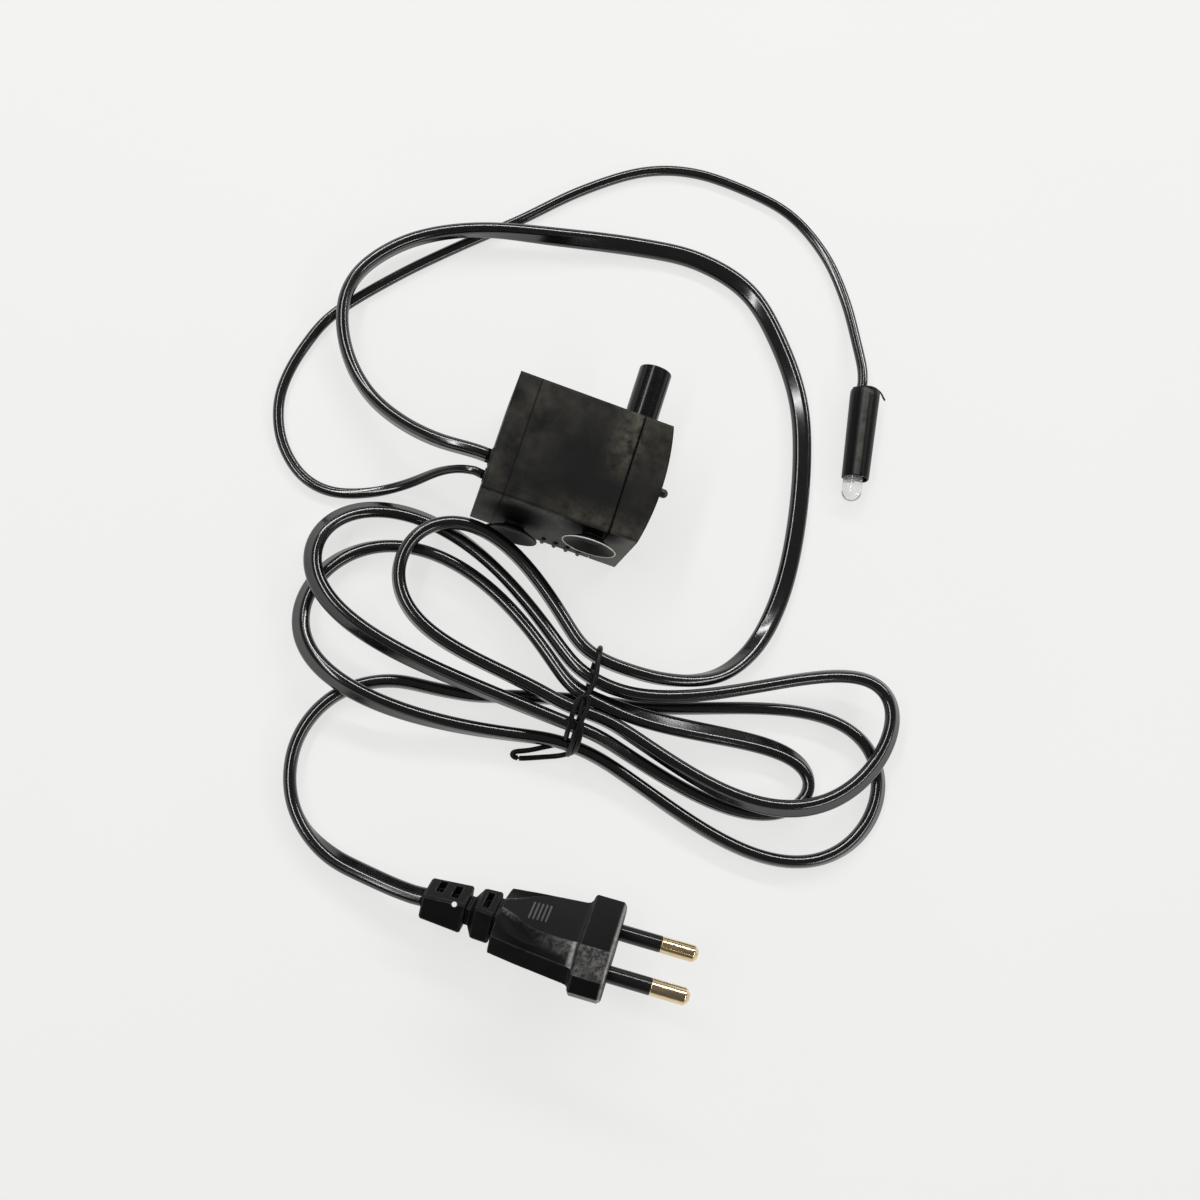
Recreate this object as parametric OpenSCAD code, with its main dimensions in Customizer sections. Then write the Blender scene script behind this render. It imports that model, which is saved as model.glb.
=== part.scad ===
// Small submersible fountain pump with a lamp lead, a mains lead in a hank and a two-pin plug.
// Millimetres. The pump lies on its side: X runs from the cords to the intake, Y from the base to
// the outlet, Z up from the table. The origin is the middle of the side it lies on.

/* [Pump body] */
// Length of the rear cap
rear_cap_l = 5.5; // [4.5:0.1:9]
// Length of the motor housing between its two seams
housing_l = 26.2; // [26:0.1:32]
// Length of the front cover along its edges
cover_l = 7.3; // [7.1:0.1:9]
// Height from the base to the top
body_h = 31; // [30.5:0.5:40]
// Thickness of the pump, lying on its side
body_t = 29; // [28.8:0.2:40]
// Radius of the long edges
edge_r = 1; // [0.4:0.1:1.2]
// Wall of the housing
wall = 1.4; // [1:0.1:1.5]
// Base wall, which takes the stems of the suction cups
base_wall = 3.6; // [3:0.1:3.8]
// Depth of the rear cap's lip inside the housing
lip_l = 1.2; // [0.8:0.1:1.6]
// Wall of the rear cap's lip
lip_t = 1.2; // [0.8:0.1:1.6]

/* [Outlet] */
// Outside radius of the outlet tube
outlet_r = 4.2; // [3.6:0.1:4.6]
// Bore radius of the outlet tube
outlet_bore_r = 3; // [2:0.1:3.2]
// Height of the outlet above the top face
outlet_l = 17.3; // [8:0.1:30]

/* [Front cover] */
// Wall of the front cover
cover_wall = 1.3; // [1:0.1:1.5]
// Bulge of the front face at mid height
front_bulge = 1.8; // [1.8:0.1:3]
// Height of one intake slot
slot_h = 2.2; // [1.4:0.1:2.4]
// Distance from one row of slots to the next
slot_pitch = 5; // [4.9:0.1:5.4]
// Length of one intake slot
slot_l = 6.5; // [3:0.1:6.8]
// Thickness of the flow shutter
shutter_t = 0.6; // [0.5:0.1:0.7]
// Radius of the shutter's peg
peg_r = 1.15; // [0.8:0.05:1.2]
// Reach of the peg in front of the cover
peg_l = 3.8; // [2:0.1:6]
// Height of the peg above the middle, shutter open
peg_y = 3; // [2:0.1:5]

/* [Pump chamber] */
// Radius of the chamber
chamber_r = 8.2; // [7.6:0.1:8.4]
// Depth of the chamber
chamber_d = 6.6; // [6.4:0.1:7]
// Wall between the chamber and the outside of the spigot
spigot_wall = 1.2; // [1:0.1:1.5]
// Length of the spigot that carries the front cover
spigot_l = 5.1; // [5:0.1:5.2]
// Thickness of the chamber plate
plate_t = 0.9; // [0.7:0.1:1]
// Thickness of the chamber seal
seal_t = 0.5; // [0.4:0.1:0.7]
// Radius of the inlet opening in the chamber plate
inlet_r = 5; // [4.6:0.1:5.6]
// Number of blades
blades = 5; // [3:1:8]
// Thickness of a blade
blade_t = 0.9; // [0.6:0.1:1.4]

/* [Motor] */
// Radius of the rotor shaft
shaft_r = 1; // [0.8:0.05:1.2]
// Radius of the rotor magnet
magnet_r = 4.6; // [4:0.1:4.8]
// Length of the rotor well behind the chamber
well_l = 19.5; // [18:0.1:19.6]
// Wall of the rotor well
can_wall = 0.9; // [0.7:0.1:1]
// Length of the stator stack
stack_l = 11; // [8:0.5:11]
// Width of the iron in the stator
iron_w = 4; // [3:0.1:4]
// Height of the winding above and below the iron
coil_t = 3; // [2:0.1:3]

/* [Suction cups] */
// Radius of the cup's rim
cup_r = 6.75; // [5:0.05:7]
// Height of a cup below the base
cup_h = 2.8; // [2:0.1:5]
// Radius of a cup's stem
stem_r = 2.2; // [1.6:0.1:2.3]
// Length of the stem in the base
stem_l = 2.4; // [1.5:0.1:2.6]
// Place of the front cup along the pump
cup_front_x = 9.5; // [8:0.1:9.6]
// Place of the rear cup along the pump
cup_rear_x = -8.5; // [-10:0.1:-6]
// Distance of the cups from the middle plane
cup_side = 7.2; // [4:0.1:7.4]

/* [Cords] */
// Width of the flat mains cord
cord_w = 5; // [4.6:0.1:5]
// Thickness of the flat mains cord
cord_t = 3.1; // [2.4:0.1:3.1]
// Diameter of the lamp cord
lamp_cord_d = 2.6; // [2:0.1:2.8]
// Diameter of the twist tie
tie_d = 1.2; // [0.8:0.1:1.2]

/* [Plug] */
// Width of the plug's head
head_w = 35.2; // [34:0.2:36]
// Thickness of the plug's head
head_t = 13.7; // [12:0.1:14]
// Distance between the pins
pin_pitch = 19; // [17:0.5:20]
// Radius of a pin
pin_r = 2; // [1.8:0.05:2.4]
// Length of a pin outside the plug
pin_l = 19; // [14:0.5:22]
// Length of the sleeve on a pin outside the plug
sleeve_l = 10; // [6:0.5:11]

/* [Lamp] */
// Outside radius of the lamp sleeve
lamp_r = 3.7; // [3.3:0.1:3.7]
// Length of the lamp sleeve
lamp_l = 24.5; // [20:0.5:30]
// Radius of the clear lamp
led_r = 2.6; // [2.4:0.1:2.8]
// Reach of the lamp in front of the sleeve
led_out = 6.3; // [4:0.1:8]

/* [Hidden] */
$fn = 36;

// colours
black_plastic = "#242426";
dark_rubber = "#18181a";
cord_black = "#141416";
steel = "#8c8f94";
brass = "#c9a24b";

// clearances
eps = 0.01;
move_clear = 0.3;
fit_clear = 0.05;
run_clear = 0.04;

// places along X
x_front = (rear_cap_l + housing_l + cover_l) / 2;
x_seam = x_front - cover_l;
x_cap = x_seam - housing_l;
x_rear = x_cap - rear_cap_l;
x_spigot = x_seam + spigot_l;
x_plate = x_spigot - plate_t;
x_recess = x_plate - seal_t;
x_chamber = x_recess - chamber_d;
x_bay = x_chamber - wall;
x_well = x_chamber - well_l;
outlet_x = x_recess - outlet_bore_r - 0.1;

// places across the pump
mid_z = body_t / 2;
top_y = body_h / 2;
base_y = -body_h / 2;
spigot_in = cover_wall + move_clear;
axis_y = top_y - spigot_in - spigot_wall - chamber_r;
recess_r = chamber_r + spigot_wall - 0.3;
outlet_y0 = axis_y + recess_r + 0.4;
outlet_foot_r = outlet_r - 0.4;
bay_y0 = base_y + base_wall;
bay_y1 = top_y - wall;
bulge_r = (top_y * top_y + front_bulge * front_bulge) / (2 * front_bulge);

// rotor and bushes
hub_l = 1.7;
bush_r = shaft_r + 0.9;
rear_bush_d = 2;
well_r = magnet_r + 0.6;
can_r = well_r + can_wall;
x_can = x_well - rear_bush_d - can_wall;
stem_out_r = shaft_r + 1;
impeller_r = chamber_r - 1;
x_imp0 = x_chamber + 0.4;
x_imp1 = x_spigot - hub_l - 0.4;
x_mag0 = x_well + 2.2;
x_mag1 = x_chamber - 0.7;

// stator, in the room that the housing leaves beside and below the rotor well
pole_r = can_r + fit_clear;
pole_h = 5;
pole_gap = 2.4;
side_room = 0.35;
leg_out = mid_z - wall - side_room;
leg_in = leg_out - iron_w - 0.4;
coil_y0 = bay_y0 + fit_clear;
coil_y1 = axis_y - can_r - 0.25;
yoke_y0 = coil_y0 + coil_t;
yoke_y1 = coil_y1 - coil_t;
stack_x1 = x_bay - fit_clear - coil_t;
stack_x0 = stack_x1 - stack_l;
bobbin_t = 0.7;
coil_x0 = stack_x0 - coil_t;
coil_x1 = stack_x1 + coil_t;
x_lip = x_cap + lip_l;

// shutter and slots
slot_gap = 4.4;
slot_rows = [-1.5, -0.5, 0.5, 1.5];
shutter_travel = slot_pitch / 2;
shutter_back = 1.25;
shutter_margin = 1;
shutter_lap = 0.3;
x_shutter1 = x_front + front_bulge - cover_wall - shutter_back;
x_shutter0 = x_shutter1 - shutter_t;
shutter_y0 = -1.5 * slot_pitch - slot_h / 2 - shutter_margin;
shutter_y1 = 2 * slot_pitch + slot_h / 2 + shutter_lap;
shutter_w = slot_gap + 2 * slot_l + 1.6 * shutter_margin;
rail_w = 1;
rail_l = 0.4;

// cord exits and grommets
exit_gap = 5;
lamp_y = bay_y0 + lip_t + 2.7;
mains_y = lamp_y + exit_gap;
gland_wall = 0.45;
gland_out = 0.3;
gland_in = 0.7;
flange = 0.6;
// leads from the cords to the coil; the mains pair stays under the rotor well
lead_r = 0.5;
lamp_lead_r = 0.4;
mains_lead_y = min(mains_y, axis_y - can_r - lead_r - move_clear);

// plug and lamp, where they lie
plug_at = [44.6, -107, 17.8];
plug_pitch = 12.5;
plug_roll = 59;
plug_yaw = 1.3;
plug_rear = 46;
pin_core_r = pin_r - 0.8;
sleeve_foot_r = pin_r - 0.35;
head_l = 8;
body_back = 28;
lamp_at = [69.4, 52.6, 3.8];
lamp_turn = -81.3;
lamp_off = 1.2;
led_off = 0.5;
seal_l = 5;
led_in = 5;

function plug_axis(x) = plug_at + x * [cos(plug_pitch) * cos(plug_yaw), cos(plug_pitch) * sin(plug_yaw),
    sin(plug_pitch)];
function lamp_point(x, y) = lamp_at + [x * cos(lamp_turn) - y * sin(lamp_turn),
    x * sin(lamp_turn) + y * cos(lamp_turn), 0];

// The cords' routes: x, y, z and the turn of the flat cord about its own line (0 stands on edge)
lead_route = [[x_rear - gland_out, mains_y, mid_z, 0], [-25, -3, 14.5, 0], [-33, -3, 12.5, 0],
    [-43, -0.5, 8.5, 0], [-53, 4.5, 5, 0], [-61, 12, 4.5, 0], [-66, 21, 5.8, 0],
    [-67, 30, 5.8, 0], [-63.5, 39, 5.6, 0], [-55, 48.5, 5.6, 0], [-41, 56.5, 5.8, 0],
    [-21, 63, 4.6, 40], [0, 69.5, 2.4, 75], [16, 72, 2, 80], [31.5, 68.5, 2.2, 60],
    [43.5, 57.5, 2.4, 50], [53, 44, 2.2, 65], [58.5, 28.5, 2, 80], [62, 10, 2, 85],
    [63, -7, 2, 80], [60.5, -22, 3, 55], [54.5, -32.5, 4.6, 30], [46.5, -38, 7, 10],
    [37, -40.8, 9, 0], [31, -41.3, 9.7, 0]];
tail_route = [[13, -53.4, 3.5, 0], [5, -55.6, 2.9, 0], [-4, -58.5, 2.6, 0], [-14, -60, 2.6, 0],
    [-23, -61, 2.6, 0], [-30, -64, 2.6, 0], [-36, -69, 2.6, 0], [-40, -76.5, 2.6, 0],
    [-41, -85, 2.6, 0], [-38.5, -94, 2.6, 0], [-33, -101, 2.7, 0], [-24.5, -105.5, 3.2, -10],
    [-16, -107, 4.4, -20]];
lamp_route = [[x_rear - gland_out, lamp_y, mid_z], [-24, -8, 14.5], [-30, -9.5, 10], [-37, -14, 4],
    [-45, -18.5, 1.4], [-54, -21.5, 1.4], [-62, -20, 1.4], [-69, -14, 1.4], [-73, -6, 1.4],
    [-74, 2, 1.4], [-72.5, 12, 1.4], [-68.5, 23, 1.4], [-57, 38.5, 1.4], [-45, 52, 1.4],
    [-32.5, 65, 1.4], [-20, 79, 1.4], [-6.5, 90.5, 1.4], [6.5, 96, 1.4], [21, 97, 1.4],
    [36, 95, 1.4], [48.5, 87.5, 1.4], [57.5, 77, 1.6], [64, 65, 2.8]];
tie_route = [[9, -69, 0.9], [14, -67.8, 0.9], [18, -67, 1.2], [20.5, -66.4, 3], [21.2, -65.6, 6.5],
    [21.4, -62.6, 10.5], [21.5, -59.5, 13.4], [21.6, -51, 13.5], [21.6, -43, 13.5],
    [21.8, -39, 12.8], [22, -38, 9], [22.2, -38.4, 4], [22.5, -41.5, 0.8], [23, -50, 0.7],
    [23.4, -60, 0.7], [23.6, -64.8, 2], [23.6, -65.6, 5.6], [23.6, -62.6, 10.4],
    [23.6, -59.5, 13.4], [23.6, -51, 13.5], [23.6, -44, 13.5], [23.4, -39, 14]];

// The hank: the waist under the tie, the lanes of its seven passes and the shape of its six loops
waist = [22, -51];
waist_half = 4;
waist_lift = 1.4;
lane = 3.7;
layer = 5.7;
floor_z = 2.6;
loop_rings = 24;
// left and right lane of each pass
passes = [[2.7, 2.6], [-1.1, -0.9], [1.3, 1.1], [-2.1, -2.1], [0, 0], [-3.1, -3.2], [-0.3, 0.3]];
// side, reach, width, lean, rise, belly, and the layer at each sixth of the loop
loops = [
    [-1, 51, 23, 33, -18, 0.7, [1, 1, 1.1, 1.1, 1, 1, 1]],
    [1, 74, 34, -9, 26, 1.2, [1, 1, 1, 1, 1, 1, 1]],
    [-1, 72, 28, 37, -21, 0.55, [1, 0.4, 0, 1, 1, 1, 1]],
    [1, 59, 15, -9, 10, 1.2, [1, 0.4, 0, 0, 0, 0.9, 1]],
    [-1, 70, 35, 26, -19, 0.5, [1, 0.5, 0, 0, 1.2, 0.2, 0]],
    [1, 77, 34, -3, 8, 1, [0, 0, 0, 0, 0, 0, 0]]];

function unit(v) = v / norm(v);
function eased(t) = t * t * (3 - 2 * t);
function layer_at(row, s) = let (i = min(floor(s), 5)) row[i] + (row[i + 1] - row[i]) * eased(s - i);
function swell(f, belly) = sin(f) * pow((1 - cos(f)) / 2, belly);
function swell_max(belly) = max([for (f = [0 : 2 : 180]) swell(f, belly)]);
function loop_point(k, t, top) =
    let (row = loops[k], f = 360 * t, q = (1 - cos(f)) / 2, end = row[0] < 0 ? 0 : 1)
    let (half = swell(f <= 180 ? f : 360 - f, row[5]) / top * (f <= 180 ? 1 : -1))
    let (u = lane * (passes[k][end] + (passes[k + 1][end] - passes[k][end]) * eased(t)))
    [waist.x + row[0] * (waist_half + row[1] * q),
        waist.y + u - row[0] * row[2] / 2 * half + row[3] * q + row[4] * q * q,
        floor_z + layer * layer_at(row[6], 6 * t) + waist_lift * pow(1 - q, 8)];
function loop_points(k) = let (top = swell_max(loops[k][5]))
    [for (j = [0 : loop_rings]) loop_point(k, j / loop_rings, top)];
function soften(p) = [for (i = [0 : len(p) - 1])
    i == 0 || i == len(p) - 1 ? p[i] : (p[i - 1] + 2 * p[i] + p[i + 1]) / 4];
hank_in = [waist.x + waist_half, waist.y + lane * passes[0][1], floor_z + layer + waist_lift];
hank_out = [waist.x - waist_half, waist.y + lane * passes[6][0], floor_z + waist_lift];
hank_line = soften(soften(concat([hank_in], [for (k = [0 : 5]) for (p = loop_points(k)) p],
    [hank_out])));
hank_first = unit(hank_line[1] - hank_line[0]);
hank_last = unit(hank_line[len(hank_line) - 1] - hank_line[len(hank_line) - 2]);

// gap between two places on the hank, both standing on edge
function strand_gap(p, q) = norm([p.x - q.x, p.y - q.y,
    max(0, abs(p.z - q.z) - (cord_w - cord_t))]) - cord_t;
function finer(p, n) = [for (i = [0 : len(p) - 2]) for (k = [0 : n - 1]) p[i] + (p[i + 1] - p[i]) * k / n];
function run_of(p) = [for (i = 0, s = 0; i < len(p); s = s + (i + 1 < len(p) ? norm(p[i + 1] - p[i]) : 0),
    i = i + 1) s];
function least_gap(p) = let (s = run_of(p)) min([for (i = [0 : len(p) - 1]) for (j = [i + 1 : 1 : len(p) - 1])
    if (s[j] - s[i] > 3 * cord_w) strand_gap(p[i], p[j])]);

// a smooth line through the points of a route, n steps to a stretch
function between(a, b, c, d, t) = (2 * b + (c - a) * t + (2 * a - 5 * b + 4 * c - d) * t * t
    + (3 * b - a - 3 * c + d) * t * t * t) / 2;
function smooth_line(p, n) = concat([for (i = [0 : len(p) - 2]) for (k = [0 : n - 1])
    between(p[max(i - 1, 0)], p[i], p[i + 1], p[min(i + 2, len(p) - 1)], k / n)], [p[len(p) - 1]]);
function xyz(p) = [for (q = p) [q.x, q.y, q.z]];
function turns(p) = [for (q = p) q[3]];

// cross-sections: across the cord, then along its width
function flat6(w, t) = let (s = (w - t) / 2)
    [[0, w / 2], [t / 2, s], [t / 2, -s], [0, -w / 2], [-t / 2, -s], [-t / 2, s]];
function flat8(w, t) = let (s = (w - t) / 2, c = s + t * 0.433)
    [[-t / 4, c], [t / 4, c], [t / 2, s], [t / 2, -s], [t / 4, -c], [-t / 4, -c], [-t / 2, -s], [-t / 2, s]];
function round8(d) = [for (k = [0 : 7]) d / 2 * [sin(45 * k), cos(45 * k)]];

// a tube swept along a line; first and last are the directions at its two ends
module tube(line, section, first, last, roll = [], up = [0, 0, 1]) {
    n = len(line);
    m = len(section);
    rings = [for (i = [0 : n - 1])
        let (d = i == 0 ? first : i == n - 1 ? last :
            unit(unit(line[i + 1] - line[i]) + unit(line[i] - line[i - 1])))
        let (side = unit(cross(up, d)), high = cross(d, side), a = len(roll) > 0 ? roll[i] : 0)
        for (p = section)
            line[i] + (side * cos(a) - high * sin(a)) * p[0] + (high * cos(a) + side * sin(a)) * p[1]];
    walls = [for (i = [0 : n - 2]) for (k = [0 : m - 1])
        let (l = (k + 1) % m)
        each [[i * m + k, (i + 1) * m + l, (i + 1) * m + k], [i * m + k, i * m + l, (i + 1) * m + l]]];
    ends = [for (k = [1 : m - 2]) each [[0, k + 1, k],
        [(n - 1) * m, (n - 1) * m + k, (n - 1) * m + k + 1]]];
    polyhedron(points = rings, faces = concat(walls, ends));
}

// a bar along X with round long edges
module bar(x0, x1, y0, y1, z0, z1, r) {
    translate([x0, 0, 0]) rotate([90, 0, 90]) linear_extrude(x1 - x0) {
        translate([y0 + r, z0]) square([y1 - y0 - 2 * r, z1 - z0]);
        translate([y0, z0 + r]) square([y1 - y0, z1 - z0 - 2 * r]);
        for (y = [y0 + r, y1 - r]) for (z = [z0 + r, z1 - r]) translate([y, z]) circle(r, $fn = 24);
    }
}

module body_bar(x0, x1, inset) {
    bar(x0, x1, base_y + inset, top_y - inset, inset, body_t - inset, edge_r);
}

// a block from corner to corner
module block(a, b) {
    translate(a) cube(b - a);
}

// round bars along X on the motor's axis and along Y
module along_x(x0, x1, r, y = axis_y, z = mid_z) {
    translate([x0, y, z]) rotate([0, 90, 0]) cylinder(r = r, h = x1 - x0);
}

module along_y(y0, y1, r, x, z) {
    translate([x, y0, z]) rotate([-90, 0, 0]) cylinder(r = r, h = y1 - y0);
}

// an upright round-ended bar along X, for the flat cord
module flat_bar(x0, x1, w, t, y) {
    translate([x0, y, mid_z]) rotate([90, 0, 90]) linear_extrude(x1 - x0) {
        square([t, w - t], center = true);
        for (s = [-1, 1]) translate([0, s * (w - t) / 2]) circle(t / 2);
    }
}

module motor_housing() {
    color(black_plastic) difference() {
        union() {
            difference() {
                union() {
                    body_bar(x_cap, x_seam, 0);
                    body_bar(x_seam - 1, x_spigot, spigot_in);
                    for (k = [0 : 3]) translate([-0.2 + 3.2 * k, base_y, 0.9])
                        cylinder(r = 0.55, h = 4, $fn = 24);
                }
                block([x_cap - 1, bay_y0, wall], [x_bay, bay_y1, body_t - wall]);
            }
            along_x(x_can, x_bay + 0.5, can_r);
        }
        along_x(x_chamber, x_spigot + 1, chamber_r);
        along_x(x_recess, x_spigot + 1, recess_r);
        along_x(x_well, x_chamber + 1, well_r);
        along_x(x_well - rear_bush_d, x_well + 1, bush_r + fit_clear);
        along_y(axis_y, top_y + 1, outlet_bore_r, outlet_x, mid_z);
        along_y(outlet_y0, top_y + 1, outlet_foot_r + fit_clear, outlet_x, mid_z);
        along_y(base_y - 1, base_y + stem_l + fit_clear, stem_r + fit_clear, cup_front_x, mid_z + cup_side);
        along_y(base_y - 1, base_y + stem_l + fit_clear, stem_r + fit_clear, cup_rear_x, mid_z - cup_side);
    }
}

module outlet_tube() {
    color("#161618") difference() {
        union() {
            along_y(outlet_y0, top_y + 1, outlet_foot_r, outlet_x, mid_z);
            along_y(top_y, top_y + outlet_l, outlet_r, outlet_x, mid_z);
        }
        along_y(outlet_y0 - 1, top_y + outlet_l + 1, outlet_bore_r, outlet_x, mid_z);
    }
}

module rear_cap() {
    g = fit_clear;
    color(black_plastic) difference() {
        union() {
            body_bar(x_rear, x_cap, 0);
            block([x_cap - 1, bay_y0 + g, wall + g], [x_lip, bay_y1 - g, body_t - wall - g]);
        }
        block([x_rear + wall, bay_y0 + g + lip_t, wall + g + lip_t],
            [x_lip + 1, bay_y1 - g - lip_t, body_t - wall - g - lip_t]);
        flat_bar(x_rear - 1, x_rear + wall + 1, cord_w + 2 * gland_wall + 2 * fit_clear,
            cord_t + 2 * gland_wall + 2 * fit_clear, mains_y);
        along_x(x_rear - 1, x_rear + wall + 1, lamp_cord_d / 2 + gland_wall + fit_clear, lamp_y);
    }
}

module slots(x0, x1) {
    for (s = [-1, 1]) for (k = slot_rows)
        translate([x0, k * slot_pitch - slot_h / 2, mid_z + s * (slot_gap + slot_l) / 2 - slot_l / 2])
            cube([x1 - x0, slot_h, slot_l]);
}

module front_cover() {
    hub = x_front + front_bulge - bulge_r;
    color(black_plastic) difference() {
        union() {
            difference() {
                intersection() {
                    body_bar(x_seam + move_clear, x_front + front_bulge + 1, 0);
                    translate([hub, 0, -1]) cylinder(r = bulge_r, h = body_t + 2, $fn = 144);
                }
                intersection() {
                    block([x_seam, base_y + cover_wall, cover_wall],
                        [x_front + front_bulge, top_y - cover_wall, body_t - cover_wall]);
                    translate([hub, 0, -1]) cylinder(r = bulge_r - cover_wall, h = body_t + 2, $fn = 144);
                }
                hull() for (x = [x_seam - 9, outlet_x])
                    along_y(top_y - cover_wall - 1, top_y + 1, outlet_r + move_clear, x, mid_z);
            }
            for (s = [-1, 1]) mirror([0, 0, s > 0 ? 0 : 1]) translate([0, 0, s > 0 ? mid_z : -mid_z]) {
                z0 = shutter_w / 2 + move_clear;
                block([x_shutter0 - move_clear - rail_l, -8, z0],
                    [x_front + front_bulge - 1.6, 8, z0 + rail_w]);
                block([x_shutter0 - move_clear - rail_l, -8, z0 - 1], [x_shutter0 - move_clear, 8, z0 + eps]);
            }
        }
        slots(x_shutter1, x_front + front_bulge + 2);
        hull() for (y = [peg_y, peg_y - shutter_travel])
            along_x(x_shutter1, x_front + front_bulge + 2, peg_r + move_clear, y);
    }
}

module flow_shutter() {
    color(black_plastic) {
        difference() {
            block([x_shutter0, shutter_y0, mid_z - shutter_w / 2], [x_shutter1, shutter_y1, mid_z + shutter_w / 2]);
            slots(x_shutter0 - 1, x_shutter1 + 1);
        }
        along_x(x_shutter1 - shutter_t, x_front + front_bulge + peg_l - peg_r, peg_r, peg_y);
        translate([x_front + front_bulge + peg_l - peg_r, peg_y, mid_z]) sphere(peg_r, $fn = 24);
    }
}

module chamber_plate() {
    color(black_plastic) difference() {
        union() {
            difference() {
                along_x(x_plate, x_spigot, recess_r - fit_clear);
                along_x(x_plate - 1, x_spigot + 1, inlet_r);
            }
            intersection() {
                along_x(x_plate, x_spigot, inlet_r + 0.5);
                for (a = [90, 210, 330]) translate([x_plate, axis_y, mid_z]) rotate([a, 0, 0])
                    translate([0, 0, -0.6]) cube([plate_t, inlet_r + 0.5, 1.2]);
            }
            along_x(x_spigot - hub_l, x_spigot, bush_r + 0.9);
        }
        along_x(x_spigot - hub_l - 1, x_spigot + 1, bush_r + fit_clear);
    }
}

module chamber_seal() {
    color(dark_rubber) difference() {
        along_x(x_recess, x_plate, recess_r - fit_clear);
        along_x(x_recess - 1, x_plate + 1, chamber_r);
    }
}

module impeller() {
    color("#d8d4c8") difference() {
        union() {
            along_x(x_mag0 - 0.6, x_imp1, stem_out_r);
            along_x(x_imp0, x_imp0 + 0.8, impeller_r);
            intersection() {
                along_x(x_imp0, x_imp1, impeller_r);
                for (k = [0 : blades - 1]) translate([x_imp0, axis_y, mid_z]) rotate([360 / blades * k, 0, 0])
                    translate([0, 0, -blade_t / 2]) cube([x_imp1 - x_imp0 - 0.3, impeller_r + 1, blade_t]);
            }
        }
        along_x(x_mag0 - 2, x_imp1 + 1, shaft_r + run_clear);
    }
}

module rotor_magnet() {
    color("#3a3a3d") difference() {
        along_x(x_mag0, x_imp0, magnet_r);
        along_x(x_mag0 - 1, x_imp0 + 1, stem_out_r + 0.02);
    }
}

module rotor_shaft() {
    color("#f0eee8") along_x(x_well - 1.4, x_spigot - 0.4, shaft_r);
}

module bush(x0, x1) {
    color(dark_rubber) difference() {
        along_x(x0, x1, bush_r);
        along_x(x0 - 1, x1 + 1, shaft_r);
    }
}

module front_bush() {
    bush(x_spigot - hub_l, x_spigot);
}

module rear_bush() {
    color(dark_rubber) difference() {
        along_x(x_well - rear_bush_d, x_well + 0.8, bush_r);
        along_x(x_well - 1.4, x_well + 2, shaft_r);
    }
}

module stator_core() {
    color(steel) difference() {
        union() {
            block([stack_x0, yoke_y0, mid_z - leg_out], [stack_x1, yoke_y1, mid_z + leg_out]);
            for (s = [-1, 1]) {
                z0 = mid_z + s * leg_in;
                z1 = mid_z + s * leg_out;
                z2 = mid_z + s * pole_gap;
                block([stack_x0, yoke_y0, min(z0, z1)], [stack_x1, axis_y + pole_h, max(z0, z1)]);
                block([stack_x0, axis_y - pole_h, min(z2, z1)], [stack_x1, axis_y + pole_h, max(z2, z1)]);
            }
        }
        along_x(stack_x0 - 1, stack_x1 + 1, pole_r);
    }
}

module coil_bobbin() {
    g = fit_clear;
    w = leg_in - g;
    color("#e6e2d6") difference() {
        union() {
            block([stack_x0 - g - bobbin_t, yoke_y0 - g - bobbin_t, mid_z - w],
                [stack_x1 + g + bobbin_t, yoke_y1 + g + bobbin_t, mid_z + w]);
            for (z = [-w, w - bobbin_t]) block([coil_x0, coil_y0, mid_z + z], [coil_x1, coil_y1, mid_z + z + bobbin_t]);
        }
        block([stack_x0 - g, yoke_y0 - g, mid_z - w - 1], [stack_x1 + g, yoke_y1 + g, mid_z + w + 1]);
    }
}

module coil_winding() {
    g = fit_clear + bobbin_t;
    w = leg_in - fit_clear - bobbin_t;
    color("#b06a35") difference() {
        block([coil_x0 + 0.2, coil_y0 + 0.2, mid_z - w], [coil_x1 - 0.2, coil_y1 - 0.2, mid_z + w]);
        block([stack_x0 - g, yoke_y0 - g, mid_z - w - 1], [stack_x1 + g, yoke_y1 + g, mid_z + w + 1]);
    }
}

module potting_resin() {
    g = fit_clear;
    color("#2c2a28") difference() {
        block([x_lip, bay_y0 + g, wall + g], [coil_x0, bay_y1 - g, body_t - wall - g]);
        along_x(x_lip - 1, coil_x0 + 1, can_r + g);
    }
}

module inner_leads() {
    color("#7a4a2a") for (s = [-1, 1]) {
        along_x(x_rear + wall + gland_in, x_lip, lead_r, mains_lead_y, mid_z + s * 2 * lead_r);
        along_x(x_rear + wall + gland_in, x_lip, lamp_lead_r, lamp_y, mid_z + s * 0.7);
    }
}

module suction_cup(x, z) {
    color(dark_rubber) translate([x, base_y, z]) rotate([-90, 0, 0]) rotate_extrude()
        polygon([[0, stem_l], [stem_r, stem_l], [stem_r, 0], [stem_r + 0.4, 0], [stem_r + 0.4, -0.5],
            [cup_r, 0.3 - cup_h], [cup_r, -cup_h], [cup_r - 0.6, -cup_h], [stem_r + 0.4, -1.3], [0, -1]]);
}

module front_suction_cup() {
    suction_cup(cup_front_x, mid_z + cup_side);
}

module rear_suction_cup() {
    suction_cup(cup_rear_x, mid_z - cup_side);
}

module mains_gland() {
    g = 2 * gland_wall;
    color(dark_rubber) {
        flat_bar(x_rear - gland_out, x_rear + wall + gland_in, cord_w + g, cord_t + g, mains_y);
        flat_bar(x_rear + wall, x_rear + wall + gland_in, cord_w + g + 2 * flange, cord_t + g + flange, mains_y);
    }
}

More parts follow.
